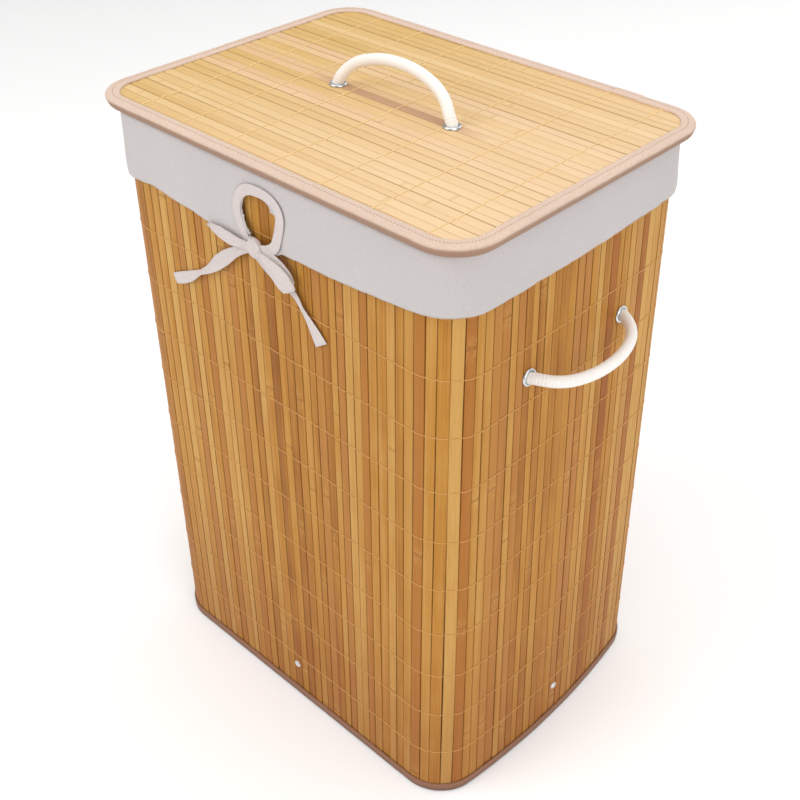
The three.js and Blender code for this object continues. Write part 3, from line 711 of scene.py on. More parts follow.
class Slats:
    """Slats side by side: their middles and half widths along a mat, and each one's uneven fit."""

    def __init__(self, span, seed):
        rng = np.random.default_rng(seed)
        size = sizes()
        count = round(span / size.slat_pitch)
        widths = np.clip(rng.normal(1, 0.11, count), 0.7, 1.3)
        widths *= span / widths.sum()
        edges = np.r_[0, np.cumsum(widths)]
        self.middle = (edges[1:] + edges[:-1]) / 2
        self.half = (widths - size.slat_gap * rng.uniform(0.4, 1.6, count)) / 2
        self.sunk = np.abs(rng.normal(0.12, 0.10, count)) * MM
        self.tilt = rng.normal(0, 0.018, count)
        self.sway = rng.normal(0, 0.14, count) * MM
        self.phase = rng.uniform(0, 2 * math.pi, count)
        self.tone = np.clip(rng.normal(0.5, 0.24, count), 0, 1)
        self.seed = rng.uniform(0, 1, count)

    def section(self, rows):
        """Across and depth of each slat's section at each row: the slat sways by a sine along itself."""
        across, depth = looped(np.array(SLAT_SECTION), 0).T
        bend = np.sin(2.2 * math.pi * rows[None, :, None] + self.phase[:, None, None])
        a = across * self.half[:, None, None] + self.sway[:, None, None] * bend
        d = depth * sizes().slat_thickness + self.sunk[:, None, None] + self.tilt[:, None, None] * a
        return a, d

    def marks(self, worn):
        across = looped(np.array(SLAT_SECTION), 0)[:, 0]
        return {
            "tone": self.tone[:, None, None], "seed": self.seed[:, None, None],
            "across": across + 0 * worn, "worn": worn,
        }


def thread_places(slats, dip, proud):
    """Where a thread runs over slats: at each one it dips into the gap, rises over the slat's edge and
    lies on its face. Gives the distance along the mat and the depth, as one row."""
    a = np.array([-1.0, -0.72, 0.0, 0.72])
    along = slats.middle[:, None] + a * slats.half[:, None]
    along[:, 0] -= sizes().slat_gap / 2
    depth = np.array([dip, -proud, -proud, -proud]) + slats.sunk[:, None]
    depth = depth + slats.tilt[:, None] * a * slats.half[:, None]
    return along.ravel(), depth.ravel()


class HAMPER_OT_body_mat(bpy.types.Operator):
    """Make the body's slats and the rows of thread that hold them together"""

    bl_idname = "hamper.body_mat"
    bl_label = "Body Mat"

    ROWS = 9
    THREADS = 10  # rows that show
    HIDDEN_ROWS = (5 * MM, 592 * MM)  # a thread under each binding

    def execute(self, context):
        slats = Slats(body_girth(), seed=11)
        self.slats(slats)
        self.threads(slats)
        dress(gauze("Mat backing", colours().backing), "mat_backing")
        return {"FINISHED"}

    def slats(self, slats):
        """point = middle of the slat + across x its tangent - depth x its facing, then leant."""
        size, tone = sizes(), colours()
        rows = np.linspace(0, 1, self.ROWS)
        a, d = slats.section(rows)
        point, out = (v[:, None, None] for v in walk(slats.middle, size.width, size.floor_depth, size.corner))
        tangent = np.stack([-out[..., 1], out[..., 0]], -1)
        flat = point + tangent * a[..., None] - out * d[..., None]
        z = FOOT + (RIM - FOOT) * rows[None, :, None] + 0 * a
        points = lean(flat[..., 0], flat[..., 1], z)
        uv = np.stack([slats.middle[:, None, None] + a, z], -1)
        points, uv = capped(points), capped(uv)
        # the slats turn darker towards the floor
        worn = 0.35 * ease(260 * MM, 20 * MM, points[..., 2])
        piece = build("body_slats", points, uv, slats.marks(worn), crease=0.9)
        material = bamboo("Bamboo", tone.bamboo_dark, tone.bamboo, tone.bamboo_light, tone.bamboo_blush,
                          tone.bamboo_low, contrast=1.15)
        sides = ("front", "right", "back", "left")
        corners = ("front_right", "back_right", "back_left", "front_left")
        nodes = [f"{side}_slats" for side in sides] + [f"{corner}_corner_slats" for corner in corners]
        settle(piece, material, "hamper", "bamboo_slats", *nodes)

    def threads(self, slats):
        """Each row: an oval section carried along the thread's places round the body."""
        size = sizes()
        showing = size.thread_start + size.thread_pitch * np.arange(self.THREADS)
        heights = np.r_[self.HIDDEN_ROWS[0], showing, self.HIDDEN_ROWS[1]]
        along, depth = thread_places(slats, THREAD_SUNK, THREAD_SUNK)
        along, depth = np.r_[along, along[0] + body_girth()], np.r_[depth, depth[0]]
        section = oval(size.thread_width / 2, THREAD_HALF_RISE, 6)
        rows = []
        for i, height in enumerate(heights):
            z = height + 0.5 * MM * ripple(along, i, *(body_girth() / waves for waves in (3, 7, 19)))
            across, rise = section.T
            s = along[:, None] + 0 * across
            rows.append(on_body(s, depth[:, None] - rise, z[:, None] + across))
        points = np.stack(rows)
        turn = np.linspace(0, 1, section.shape[0])
        uv = spread(along[None, :, None], turn, heights[:, None, None])[..., :2]
        piece = build("body_threads", points, uv)
        settle(piece, spun("Mat thread", colours().thread), "hamper", "bamboo_slats")


def lid_reach(y, inset):
    """Half the lid's length at a distance y from its middle, in from its edge by an inset."""
    half_x, half_y = LID_HIGH.x - inset, LID_HIGH.y - inset
    corner = sizes().lid_corner - inset
    over = np.clip(np.abs(y) - (half_y - corner), 0, corner)
    return half_x - corner + np.sqrt(corner**2 - over**2)


class HAMPER_OT_lid_mat(bpy.types.Operator):
    """Make the lid's slats and threads, and finish its board, lining and wire"""

    bl_idname = "hamper.lid_mat"
    bl_label = "Lid Mat"

    ROWS = 9
    EDGE = 5 * MM  # the slats end this far inside the lid's edge
    HANDLE_SHADOW_SLAT = -3 * MM  # the slat here is darker between the handle's eyelets, a painted shadow of the handle
    TURN = np.array([-0.002, 0.002])  # half the share of the lid over which the slat turns darker into the painted shadow
    THREADS, THREAD_SHIFT, THREAD_DRIFT = 7, 7.7 * MM, 0.4 * MM  # rows, off the middle, and their waver

    def execute(self, context):
        slats = Slats(2 * (LID_HIGH.y - self.EDGE), seed=23)
        slats.middle -= LID_HIGH.y - self.EDGE
        self.slats(slats)
        self.threads(slats)
        dress(pressed_board("Lid board", colours().lid_board), "lid_board")
        dress(gauze("Lid lining", colours().cotton), "lid_lining")
        dress(plated("Lid wire", colours().wire, WIRE_ROUGHNESS), "lid_wire")
        return {"FINISHED"}

    def slats(self, slats):
        """x = share of the lid's half length at that y, y = middle + across, z = top - depth."""
        tone = colours()
        reach = sizes().handle_span / 2 - EYELET_RADIUS
        shadow_end = 0.5 * reach / LID_HIGH.x
        turns = (0.5 - shadow_end + self.TURN, 0.5 + shadow_end + self.TURN)
        rows = np.sort(np.concatenate([np.linspace(0, 1, self.ROWS), *turns]))
        a, d = slats.section(rows)
        y = slats.middle[:, None, None] + a
        y = np.clip(y, self.EDGE - LID_HIGH.y, LID_HIGH.y - self.EDGE)
        x = (2 * rows[None, :, None] - 1) * lid_reach(y, self.EDGE)
        points = np.stack([x, y, LID_MAT_TOP - d], -1)
        points = capped(points)
        uv = np.stack([points[..., 1], points[..., 0]], -1)
        # painted shadow of the lid's handle: the slat nearest it turns darker between the eyelets
        odd = (np.arange(len(slats.middle)) == np.argmin(np.abs(slats.middle - self.HANDLE_SHADOW_SLAT)))[:, None, None]
        odd = 0.55 * odd * (np.abs(points[..., 0]) < reach)
        # painted highlight: the slats turn paler and pinker towards the near corner
        worn = 0.75 * ease(-0.25, 0.30, points[..., 0] - 0.5 * points[..., 1])
        piece = build("lid_mat", points, uv, {**slats.marks(worn), "odd": odd}, crease=0.9)
        material = bamboo("Pale bamboo", tone.straw_dark, tone.straw, tone.straw_light, tone.straw_blush,
                          tone.straw_highlight, contrast=0.8)
        settle(piece, material, "lid", "lid_slats", "lid_slats")

    def threads(self, slats):
        """Rows across the slats, an oval section carried along each thread's places."""
        size = sizes()
        along, depth = thread_places(slats, THREAD_SUNK, THREAD_SUNK)
        across, rise = oval(size.thread_width / 2, THREAD_HALF_RISE, 6).T
        rows = []
        for i in range(self.THREADS):
            x = size.thread_pitch * (i - self.THREADS // 2) + self.THREAD_SHIFT
            x = x + self.THREAD_DRIFT * ripple(along, i, 0.31, 0.11, 0.05)
            rows.append(spread(x[:, None] + across, along[:, None], LID_MAT_TOP - depth[:, None] + rise))
        points = capped(np.stack(rows))
        turn = np.linspace(0, 1, len(across))
        uv = spread(points[..., 1], turn)
        piece = build("lid_threads", points, uv)
        settle(piece, spun("Lid thread", colours().lid_thread), "lid", "lid_slats")


# ---- Edges ----

def stitches(name, line, facing, long, thick):
    """A row of stitches: each one a short oval bead along the line, sunk to half its thickness. `line`
    holds each stitch's two ends and `facing` the direction out of the tape there."""
    start, end = line[:, 0], line[:, 1]
    travel = unit(end - start)
    side = unit(np.cross(facing, travel))
    along = np.array([0.0, 0.12, 0.5, 0.88, 1.0])
    swell = np.array([0.25, 0.8, 1.0, 0.8, 0.25])
    turn = np.linspace(0, 2 * math.pi, 6)
    centre = start[:, None] + (end - start)[:, None] * along[:, None]
    centre = centre + facing[:, None] * (thick * 0.35 * np.sin(math.pi * along))[:, None]
    ring = np.cos(turn)[:, None] * side[:, None, None] + np.sin(turn)[:, None] * facing[:, None, None]
    points = centre[:, :, None] + ring * (swell * thick / 2)[:, None, None]
    uv = spread((along * long)[:, None], turn / (2 * math.pi))
    uv = np.broadcast_to(uv, (len(line), *uv.shape))
    return build(name, capped(points), capped(uv))


class HAMPER_OT_bindings(bpy.types.Operator):
    """Make the tape along the foot and round the lid, with their stitches, and finish the wires"""

    bl_idname = "hamper.bindings"
    bl_label = "Bindings"

    STATIONS = 300
    STITCH, STITCH_PITCH = 2.5 * MM, 3.3 * MM
    LID_STITCH_INSET = 6.6 * MM
    LAP = 26 * MM  # the lid tape's overlap, behind
    LAP_STEP = 0.5 * MM  # over which it rises
    # the foot tape's closed section: inset from the wall and height, in millimetres
    FOOT_PROFILE = (
        (-0.4, 11.2), (-1.1, 10.7), (-1.45, 8.5), (-1.5, 5.0), (-1.3, 2.0), (-0.6, 0.6), (0.8, 0.0),
        (6.5, 0.0), (8.9, 0.5), (9.7, 1.8), (9.9, 4.5), (9.9, 10.6), (9.3, 11.2), (8.8, 10.9), (8.6, 2.6),
        (7.0, 1.4), (0.8, 1.4), (-0.2, 2.4), (-0.3, 10.8),
    )

    def execute(self, context):
        self.foot()
        self.lid()
        dress(gauze("Rim tape", colours().body_tape), "top_binding")
        dress(plated("Frame wire", colours().wire, WIRE_ROUGHNESS), "bottom_wire", "top_wire")
        return {"FINISHED"}

    def foot(self):
        """The foot's profile round the body, rippled a little outwards along it."""
        s = np.linspace(0, body_girth(), self.STATIONS + 1)

        def place(along, inset, height):
            pucker = 0.14 * MM * ripple(along, 3, body_girth() / 97, body_girth() / 61, body_girth() / 23)
            return on_body(along, inset + pucker, height)

        points = profiled(s, self.FOOT_PROFILE, place)
        # the tape turns darker towards its lower edge
        low = 0.8 * ease(6.5, 1.5, looped(np.array(self.FOOT_PROFILE), 0)[:, 1])
        piece = build("foot_binding", points, self.tape_uv(s, points), {"worn": low})
        tape = woven("Foot tape", colours().body_tape, thread=0.9 * MM, depth=0.2 * MM, soil=0.12, twill=True,
                     worn=colours().foot_low_edge)
        settle(piece, tape, "hamper", "binding_tape", "bottom_binding")
        count = int(body_girth() / self.STITCH_PITCH)
        s = np.arange(count) * body_girth() / count
        ends = np.stack([on_body(s + t, -1.15 * MM + 0 * s, 9.2 * MM + 0 * s) for t in (0, self.STITCH)], 1)
        _, out = walk(s, sizes().width, sizes().floor_depth, sizes().corner)
        facing = np.c_[out, 0 * s]
        row = stitches("foot_stitches", ends, facing, self.STITCH, 0.75 * MM)
        settle(row, spun("Foot stitching", colours().foot_stitch, STITCH_TWIST), "hamper", "binding_tape")

    def tape_uv(self, s, points):
        """Along the edge and round the profile, in metres."""
        return spread(s[:, None], travelled(points[0]))

    def lid(self):
        """The tape over the lid's edge: flat legs above and below, and a full round outside."""
        half_x, half_y, corner = LID_HIGH.x, LID_HIGH.y, sizes().lid_corner
        low, high = LID_LOW.z / MM, LID_HIGH.z / MM
        middle = (low + high) / 2
        profile = (
            (12.6, high - 1.3), (12.2, high - 0.4), (11.0, high - 0.1), (7.5, high + 0.1), (4.0, high + 0.05),
            (2.2, high - 0.2), (0.9, high - 0.8), (0.2, high - 1.7), (0.0, high - 2.8), (0.4, high - 4.4),
            (1.1, low + 3.4), (1.8, low + 1.8), (2.9, low + 0.5), (4.8, low), (11.5, low), (12.4, low + 0.5),
            (12.2, low + 1.2), (4.4, low + 1.3), (3.1, low + 2.4), (2.0, middle), (1.6, high - 2.8),
            (3.6, high - 1.5), (12.3, high - 1.8),
        )
        # painted highlight and painted shade: the tape's top keeps the pale lit colour and its lower half
        # turns to its darker shaded copy
        under = ease(high - 1.4, high - 3.4, looped(np.array(profile), 0)[:, 1])
        total = girth(2 * half_x, 2 * half_y, corner)
        seam = total / 2 + 30 * MM
        lap = np.array([-self.LAP_STEP, 0, self.LAP, self.LAP + self.LAP_STEP]) + seam
        s = np.sort(np.r_[np.linspace(0, total, self.STATIONS + 1), lap])

        def place(along, inset, height):
            point, out = walk(along, 2 * half_x, 2 * half_y, corner)
            over = ease(lap[0], lap[1], along) * ease(lap[3], lap[2], along)
            pucker = 0.22 * MM * ripple(along, 8, total / 83, total / 47, total / 29, total / 11)
            # the lapped end of the tape lies a tape's thickness further out
            grow = 1 + (0.45 * MM * over + pucker) / (5 * MM)
            mid = middle * MM
            flat = point - out * (inset - 0.35 * MM * over + pucker)[..., None]
            return np.concatenate([flat, (mid + (height - mid) * grow)[..., None]], -1)

        points = profiled(s, profile, place)
        piece = build("lid_tape", points, self.tape_uv(s, points), {"worn": 0.9 * under})
        tape = woven("Lid tape", colours().lid_tape, thread=0.8 * MM, depth=0.2 * MM, soil=0.1, twill=True,
                     worn=colours().lid_tape_shaded)
        settle(piece, tape, "lid", "binding_tape", "lid_binding")
        count = int(total / self.STITCH_PITCH)
        s = np.arange(count) * total / count
        ends = np.stack([place(s + t, self.LID_STITCH_INSET + 0 * s, LID_HIGH.z - 0.1 * MM + 0 * s)
                         for t in (0, self.STITCH)], 1)
        facing = np.tile([0.0, 0.0, 1.0], (count, 1))
        row = stitches("lid_stitches", ends, facing, self.STITCH, 0.7 * MM)
        settle(row, spun("Lid stitching", colours().lid_stitch, STITCH_TWIST), "lid", "binding_tape")


# ---- Base ----

class HAMPER_OT_base(bpy.types.Operator):
    """Finish the base board and its tabs, and make the rivets"""

    bl_idname = "hamper.base"
    bl_label = "Base"

    RIVET_HEIGHT = 45 * MM
    # radius and height over the wall, in millimetres, from the middle of the head to the inner head
    RIVET = ((0, 2.1), (1.2, 2.0), (2.4, 1.65), (3.4, 1.05), (4.0, 0.4), (3.95, 0.1), (1.8, 0.1),
             (1.8, -6.6), (4.0, -6.7), (4.0, -7.4), (3.4, -7.7), (0, -7.8))

    def execute(self, context):
        dress(pressed_board("Base board", colours().base_board), "base_board")
        steel = plated("Rivet", colours().rivet, 0.22)
        tab = gauze("Base tab", colours().body_tape)
        for side in ("front", "right", "back", "left"):
            dress(tab, f"{side}_base_tab")
            piece = turned(f"{side}_rivet_head", self.RIVET, wall_frame(side, 0.0, self.RIVET_HEIGHT))
            settle(piece, steel, "hamper", "nickel", f"{side}_rivet")
        return {"FINISHED"}


def turned(name, profile, place, sides=40, crease=0.7):
    """A profile of (radius, height) points, in millimetres, turned about the outward direction of a
    frame."""
    origin, side, up, out = place
    radius, height = (np.asarray(profile, float) * MM).T
    turn = np.linspace(0, 2 * math.pi, sides + 1)
    ring = np.cos(turn)[:, None] * side + np.sin(turn)[:, None] * up
    points = origin + ring * radius[:, None, None] + out * height[:, None, None]
    return build(name, points, crease=crease)


# ---- Bag ----

# outline of the hole in the cuff and its middle: x and height in millimetres
HOLE_MIDDLE = (-1.0, 557.0)
HOLE = (
    (-13.7, 577.4), (-6.5, 578.6), (4.0, 578.0), (8.6, 577.5), (12.9, 573.9), (14.8, 570.8), (18.7, 569.2),
    (18.9, 565.0), (19.0, 559.9), (16.4, 551.2), (13.8, 543.3), (3.1, 537.0), (-5.6, 534.1),
    (-11.3, 537.3), (-12.5, 543.1), (-16.0, 548.9), (-18.8, 555.8), (-21.1, 562.0), (-18.9, 569.6),
    (-17.2, 573.6),
)
# the cuff's lower edge: its height, how it rises along x and y, how far the tie pulls it down in front, as
# x and the pull in millimetres, and where the pull ends behind the front wall
EDGE, EDGE_RISE = 545 * MM, (0.020, 0.012)
PULL = (
    (-170, 0), (-142, -2), (-109, 2.5), (-89, 4.2), (-66, 7.8), (-40, 9), (-33, 12.4), (-22, 13.9),
    (-11, 13.4), (1, 12.5), (12, 11.5), (20, 7.5), (25, 4.8), (46, 4.8), (90, 4.4), (112, 3.4), (152, 1.0),
    (172, 0),
)
PULL_REACH = (-120 * MM, -145 * MM)
# middle of the bow's knot: x and height in millimetres
KNOT = (-4.8, 534.5)


def hole_radius(turn):
    """Distance from the hole's middle to its outline in a direction, smoothed between its points."""
    away = np.array(HOLE) - HOLE_MIDDLE
    angles = np.arctan2(away[:, 1], away[:, 0])
    order = np.argsort(angles)
    angles, radii = angles[order], np.hypot(*away.T)[order]
    fine = np.linspace(-math.pi, math.pi, 361)
    rough = np.interp(fine, angles, radii, period=2 * math.pi)
    window = np.hanning(11)
    smooth = np.convolve(np.r_[rough[:-1], rough[:-1], rough[:-1]], window / window.sum(), "same")[360:720]
    return np.interp(turn, fine[:-1], smooth, period=2 * math.pi)


def cuff_edge(x, y):
    """Height of the cuff's lower edge: a little lower towards the front left, and pulled down to the tie."""
    pull = np.interp(x / MM, *np.transpose(PULL)) * MM * ease(*PULL_REACH, y)
    return EDGE + EDGE_RISE[0] * x + EDGE_RISE[1] * y - pull


class HAMPER_OT_bag(bpy.types.Operator):
    """Make the cloth bag: its floor, its hanging walls and the cuff folded down outside the rim"""

    bl_idname = "hamper.bag"
    bl_label = "Bag"

    FINE = 1.6 * MM  # spacing of the grid round the hole
    COARSE = 7 * MM
    NEAR_HOLE = (-52 * MM, 36 * MM)  # the fine grid's reach, from the middle of the front wall
    FLOOR_ROWS = 9
    FLOOR_INSET = 25 * MM  # of the bag's floor inside the mat
    GIRTH_ROW = 20  # a row of the grid
    # heights of the walls' rows, and their inset at some heights: in to clear the handles' knots
    WALL_ROWS = (18.9, 19.6, 22, 27, 40, 70, 110, 160, 220, 280, 340, 390, 430, 465, 490, 515, 540, 560, 576,
                 588, 594)
    WALL_INSETS = ((0, 27), (19.2, 26), (24, 23.8), (32, 22.9), (486, 22.9), (576, 11.6), (600, 10.7))
    FOLD, DRIFT = 7.5 * MM, 4 * MM  # depth of the hanging folds and of the slower waves under them
    # inset and height of the cloth over the rim, and then its inset by share of the cuff's drop
    OVER_RIM = ((10.2, 596.8), (8.6, 598.1), (6.0, 598.5), (2.5, 598.5), (-0.6, 598.2), (-2.4, 597.2),
                (-3.1, 595.6), (-3.3, 593.5))
    CUFF_INSETS = ((0, -3.3), (0.45, -3.7), (0.85, -4.7), (1.0, -4.3))
    CUFF_DEPTH = 54 * MM
    EDGE_AT = 540 * MM  # height of the body's outline that the cuff's edge is worked out from
    CREASE = 0.75 * MM  # depth of the creases round the knot
    SPOKES, SPOKE_TURN, SPOKE_REACH = 11, 0.04, 38  # their number, turn in a millimetre and reach
    SNAP = 1.0  # a point of the cuff this close to the hole's outline moves on to it, in millimetres
    HOLE_SIDE = 60  # and none past this x is looked at

    def execute(self, context):
        size = sizes()
        s = self.stations()
        inside = self.inside(s)
        cuff = self.cuff(s)
        points = np.concatenate([inside, cuff])
        down = np.linalg.norm(np.diff(points, axis=0), axis=-1).mean(1)
        v = np.r_[0, np.cumsum(down)]
        uv = spread(s, v[:, None])
        points, keep = self.cut_hole(points, len(inside))
        piece = build("cotton_bag", points, uv, keep=keep, open_sheet=True)
        thicken = piece.modifiers.new("Cloth", "SOLIDIFY")
        thicken.thickness, thicken.offset = size.cloth, 0
        cloth = woven("Bag cotton", colours().cotton, CLOTH_THREAD, CLOTH_DEPTH)
        settle(piece, cloth, "hamper", "cotton_cloth", "bag")
        return {"FINISHED"}

    def stations(self):
        """Distances round the body, close together in front of the hole."""
        start = sizes().width / 2 - sizes().corner
        low, high = (start + reach for reach in self.NEAR_HOLE)
        near = np.linspace(low, high, round((high - low) / self.FINE) + 1)
        before = np.linspace(0, low, round(low / self.COARSE) + 1)[:-1]
        after = np.linspace(high, body_girth(), round((body_girth() - high) / self.COARSE) + 1)[1:]
        return np.r_[before, near, after]

    def inside(self, s):
        """The floor drawn in to its middle, and the walls: soft upright folds that fade towards the rim
        and the floor, an inset of 23 mm below the handles' knots and a slope out to the rim above."""
        total = body_girth()
        heights = np.array(self.WALL_ROWS) * MM
        inset = np.interp(heights, *np.transpose(self.WALL_INSETS) * MM)
        free = ease(20 * MM, 120 * MM, heights) * ease(585 * MM, 470 * MM, heights)
        fold = 0.5 + 0.5 * ripple(s[None] + 60 * heights[:, None] * MM, 5, total / 17, total / 9, total / 31)
        drift = 0.5 + 0.5 * ripple(s[None] + 0.35 * heights[:, None], 6, total / 5, total / 13)
        inset = inset[:, None] + free[:, None] * (self.FOLD * fold**2 + self.DRIFT * drift)
        walls = on_body(np.broadcast_to(s, inset.shape), inset, heights[:, None] + 0 * inset)
        share = np.linspace(0, 1, self.FLOOR_ROWS)[:-1, None]
        centre = np.array([0, 0, walls[0, :, 2].mean()])
        floor = centre + (walls[0] - centre) * share[..., None]
        loose = 4 * share * (1 - share)
        floor[..., 2] += 0.5 * MM * ripple(floor[..., 0] + 0.6 * floor[..., 1], 2, 0.09, 0.05) * loose
        return np.concatenate([floor, walls])

    def cuff(self, s):
        """Over the rim and down to the cuff's edge: a profile of insets and shares of the drop, with
        creases that gather towards the knot and a slack lower edge."""
        over = np.array(self.OVER_RIM) * MM
        rows = round(self.CUFF_DEPTH / self.FINE)
        share = np.r_[np.zeros(len(over)), np.linspace(0, 1, rows + 1)[1:]]
        down, insets = np.transpose(self.CUFF_INSETS)
        inset = np.r_[over[:, 0], np.interp(share[len(over):], down, insets * MM)]
        start = on_body(s, 0 * s, self.EDGE_AT + 0 * s)
        edge = cuff_edge(start[:, 0], start[:, 1])
        top = np.r_[over[:, 1], np.full(rows, over[-1, 1])]
        height = top[:, None] + share[:, None] * (edge - over[-1, 1])
        total = body_girth()
        slack = share[:, None] ** 1.5
        wave = ripple(s, 12, total / 23, total / 37, total / 11)
        wave = wave + 0.5 * ripple(s, 13, total / 71, total / 53)
        inset = inset[:, None] - slack * 0.55 * MM * wave
        sag = np.sin(math.pi * share)[:, None] * 0.35 * MM * ripple(s, 14, total / 19, total / 43)
        inset = inset + sag
        s_grid = np.broadcast_to(s, inset.shape)
        middle = sizes().width / 2 - sizes().corner
        x, z = (s_grid - middle) / MM, height / MM
        away, up = x - KNOT[0], z - KNOT[1]
        far = np.hypot(away, up)
        # creases run out from the knot like spokes and fade with distance
        spokes = np.sin(self.SPOKES * np.arctan2(up, away) + self.SPOKE_TURN * far)
        crease = spokes * np.exp(-((far / self.SPOKE_REACH) ** 2)) * ease(6, 16, far)
        inset = inset - self.CREASE * crease * (share[:, None] > 0)
        return on_body(s_grid, inset, height)

    def cut_hole(self, points, first):
        """Moves the cuff's points near the hole's outline on to it and drops the faces inside it."""
        x, z = points[..., 0] / MM, points[..., 2] / MM
        row = np.arange(len(points))[:, None]
        near = (points[..., 1] < 0) & (np.abs(x) < self.HOLE_SIDE) & (row >= first)
        dx, dz = x - HOLE_MIDDLE[0], z - HOLE_MIDDLE[1]
        far, turn = np.hypot(dx, dz), np.arctan2(dz, dx)
        edge = hole_radius(turn)
        on_edge = near & (np.abs(far - edge) < self.SNAP)
        grow = np.where(on_edge, edge / np.maximum(far, 1e-6), 1)
        x, z = HOLE_MIDDLE[0] + dx * grow, HOLE_MIDDLE[1] + dz * grow
        inner = near & ((far < edge) | on_edge)
        inside = inner[:-1, :-1] & inner[:-1, 1:] & inner[1:, 1:] & inner[1:, :-1]
        moved = points.copy()
        moved[..., 0] = np.where(near, x * MM, points[..., 0])
        moved[..., 2] = np.where(near, z * MM, points[..., 2])
        return moved, ~inside


# ---- Tie tape ----

def ribbon(name, rows, twist=0, cup=0.0, thick=0.95, full=0.0, count=48):
    """A tape on the front wall. Each row of numbers holds x, height, how far the tape stands proud and
    its width there, in millimetres. Its face turns by `twist` degrees about its line. `cup` bends its
    edges back by that share of its width, `full` rounds its flat faces like a stuffed fold, and it is
    gathered into pleats where it is narrow."""
    rows = np.asarray(rows, float)
    places, widths = rows[:, :3], rows[:, 3]
    line = route(places, count)
    at = np.linspace(0, 1, count)
    knots = travelled(places)
    knots /= knots[-1]
    width = np.interp(at, knots, widths)
    turn = np.radians(np.interp(at, knots, twist + 0 * knots))
    travel = unit(np.gradient(line, axis=0))
    side = unit(np.cross(np.array([0.0, 0.0, 1.0]), travel))
    up = np.cross(travel, side)
    side, up = (np.cos(turn)[:, None] * side + np.sin(turn)[:, None] * up,
                np.cos(turn)[:, None] * up - np.sin(turn)[:, None] * side)
    a = np.array([-1, -0.94, -0.8, -0.6, -0.4, -0.2, 0, 0.2, 0.4, 0.6, 0.8, 0.94, 1])
    r = np.r_[0, 0.8, np.ones(9), 0.8, 0]
    a, r = np.r_[a, a[-2::-1]], np.r_[r, -r[-2::-1]]
    body = 1 - full + full * np.sqrt(1 - a**2)
    rise = r * body * thick / 2 - cup * a**2 * width[:, None] / 2
    narrow = (1 - width / max(widths))[:, None]
    pleats = (0.3 + 0.5 * full) * np.sin(2.6 * math.pi * a + 0.9) * (narrow + 0.25 * full) * (1 - a**4)
    section = np.stack([a * width[:, None] / 2, rise + pleats], -1)
    points = on_front(sweep(line, side, up, section))
    long = at * travelled(line)[-1] * MM
    uv = spread(long[:, None], a * 5.5 * MM + (r < 0) * 20 * MM)
    return build(name, capped(points), capped(uv)), on_front(line)


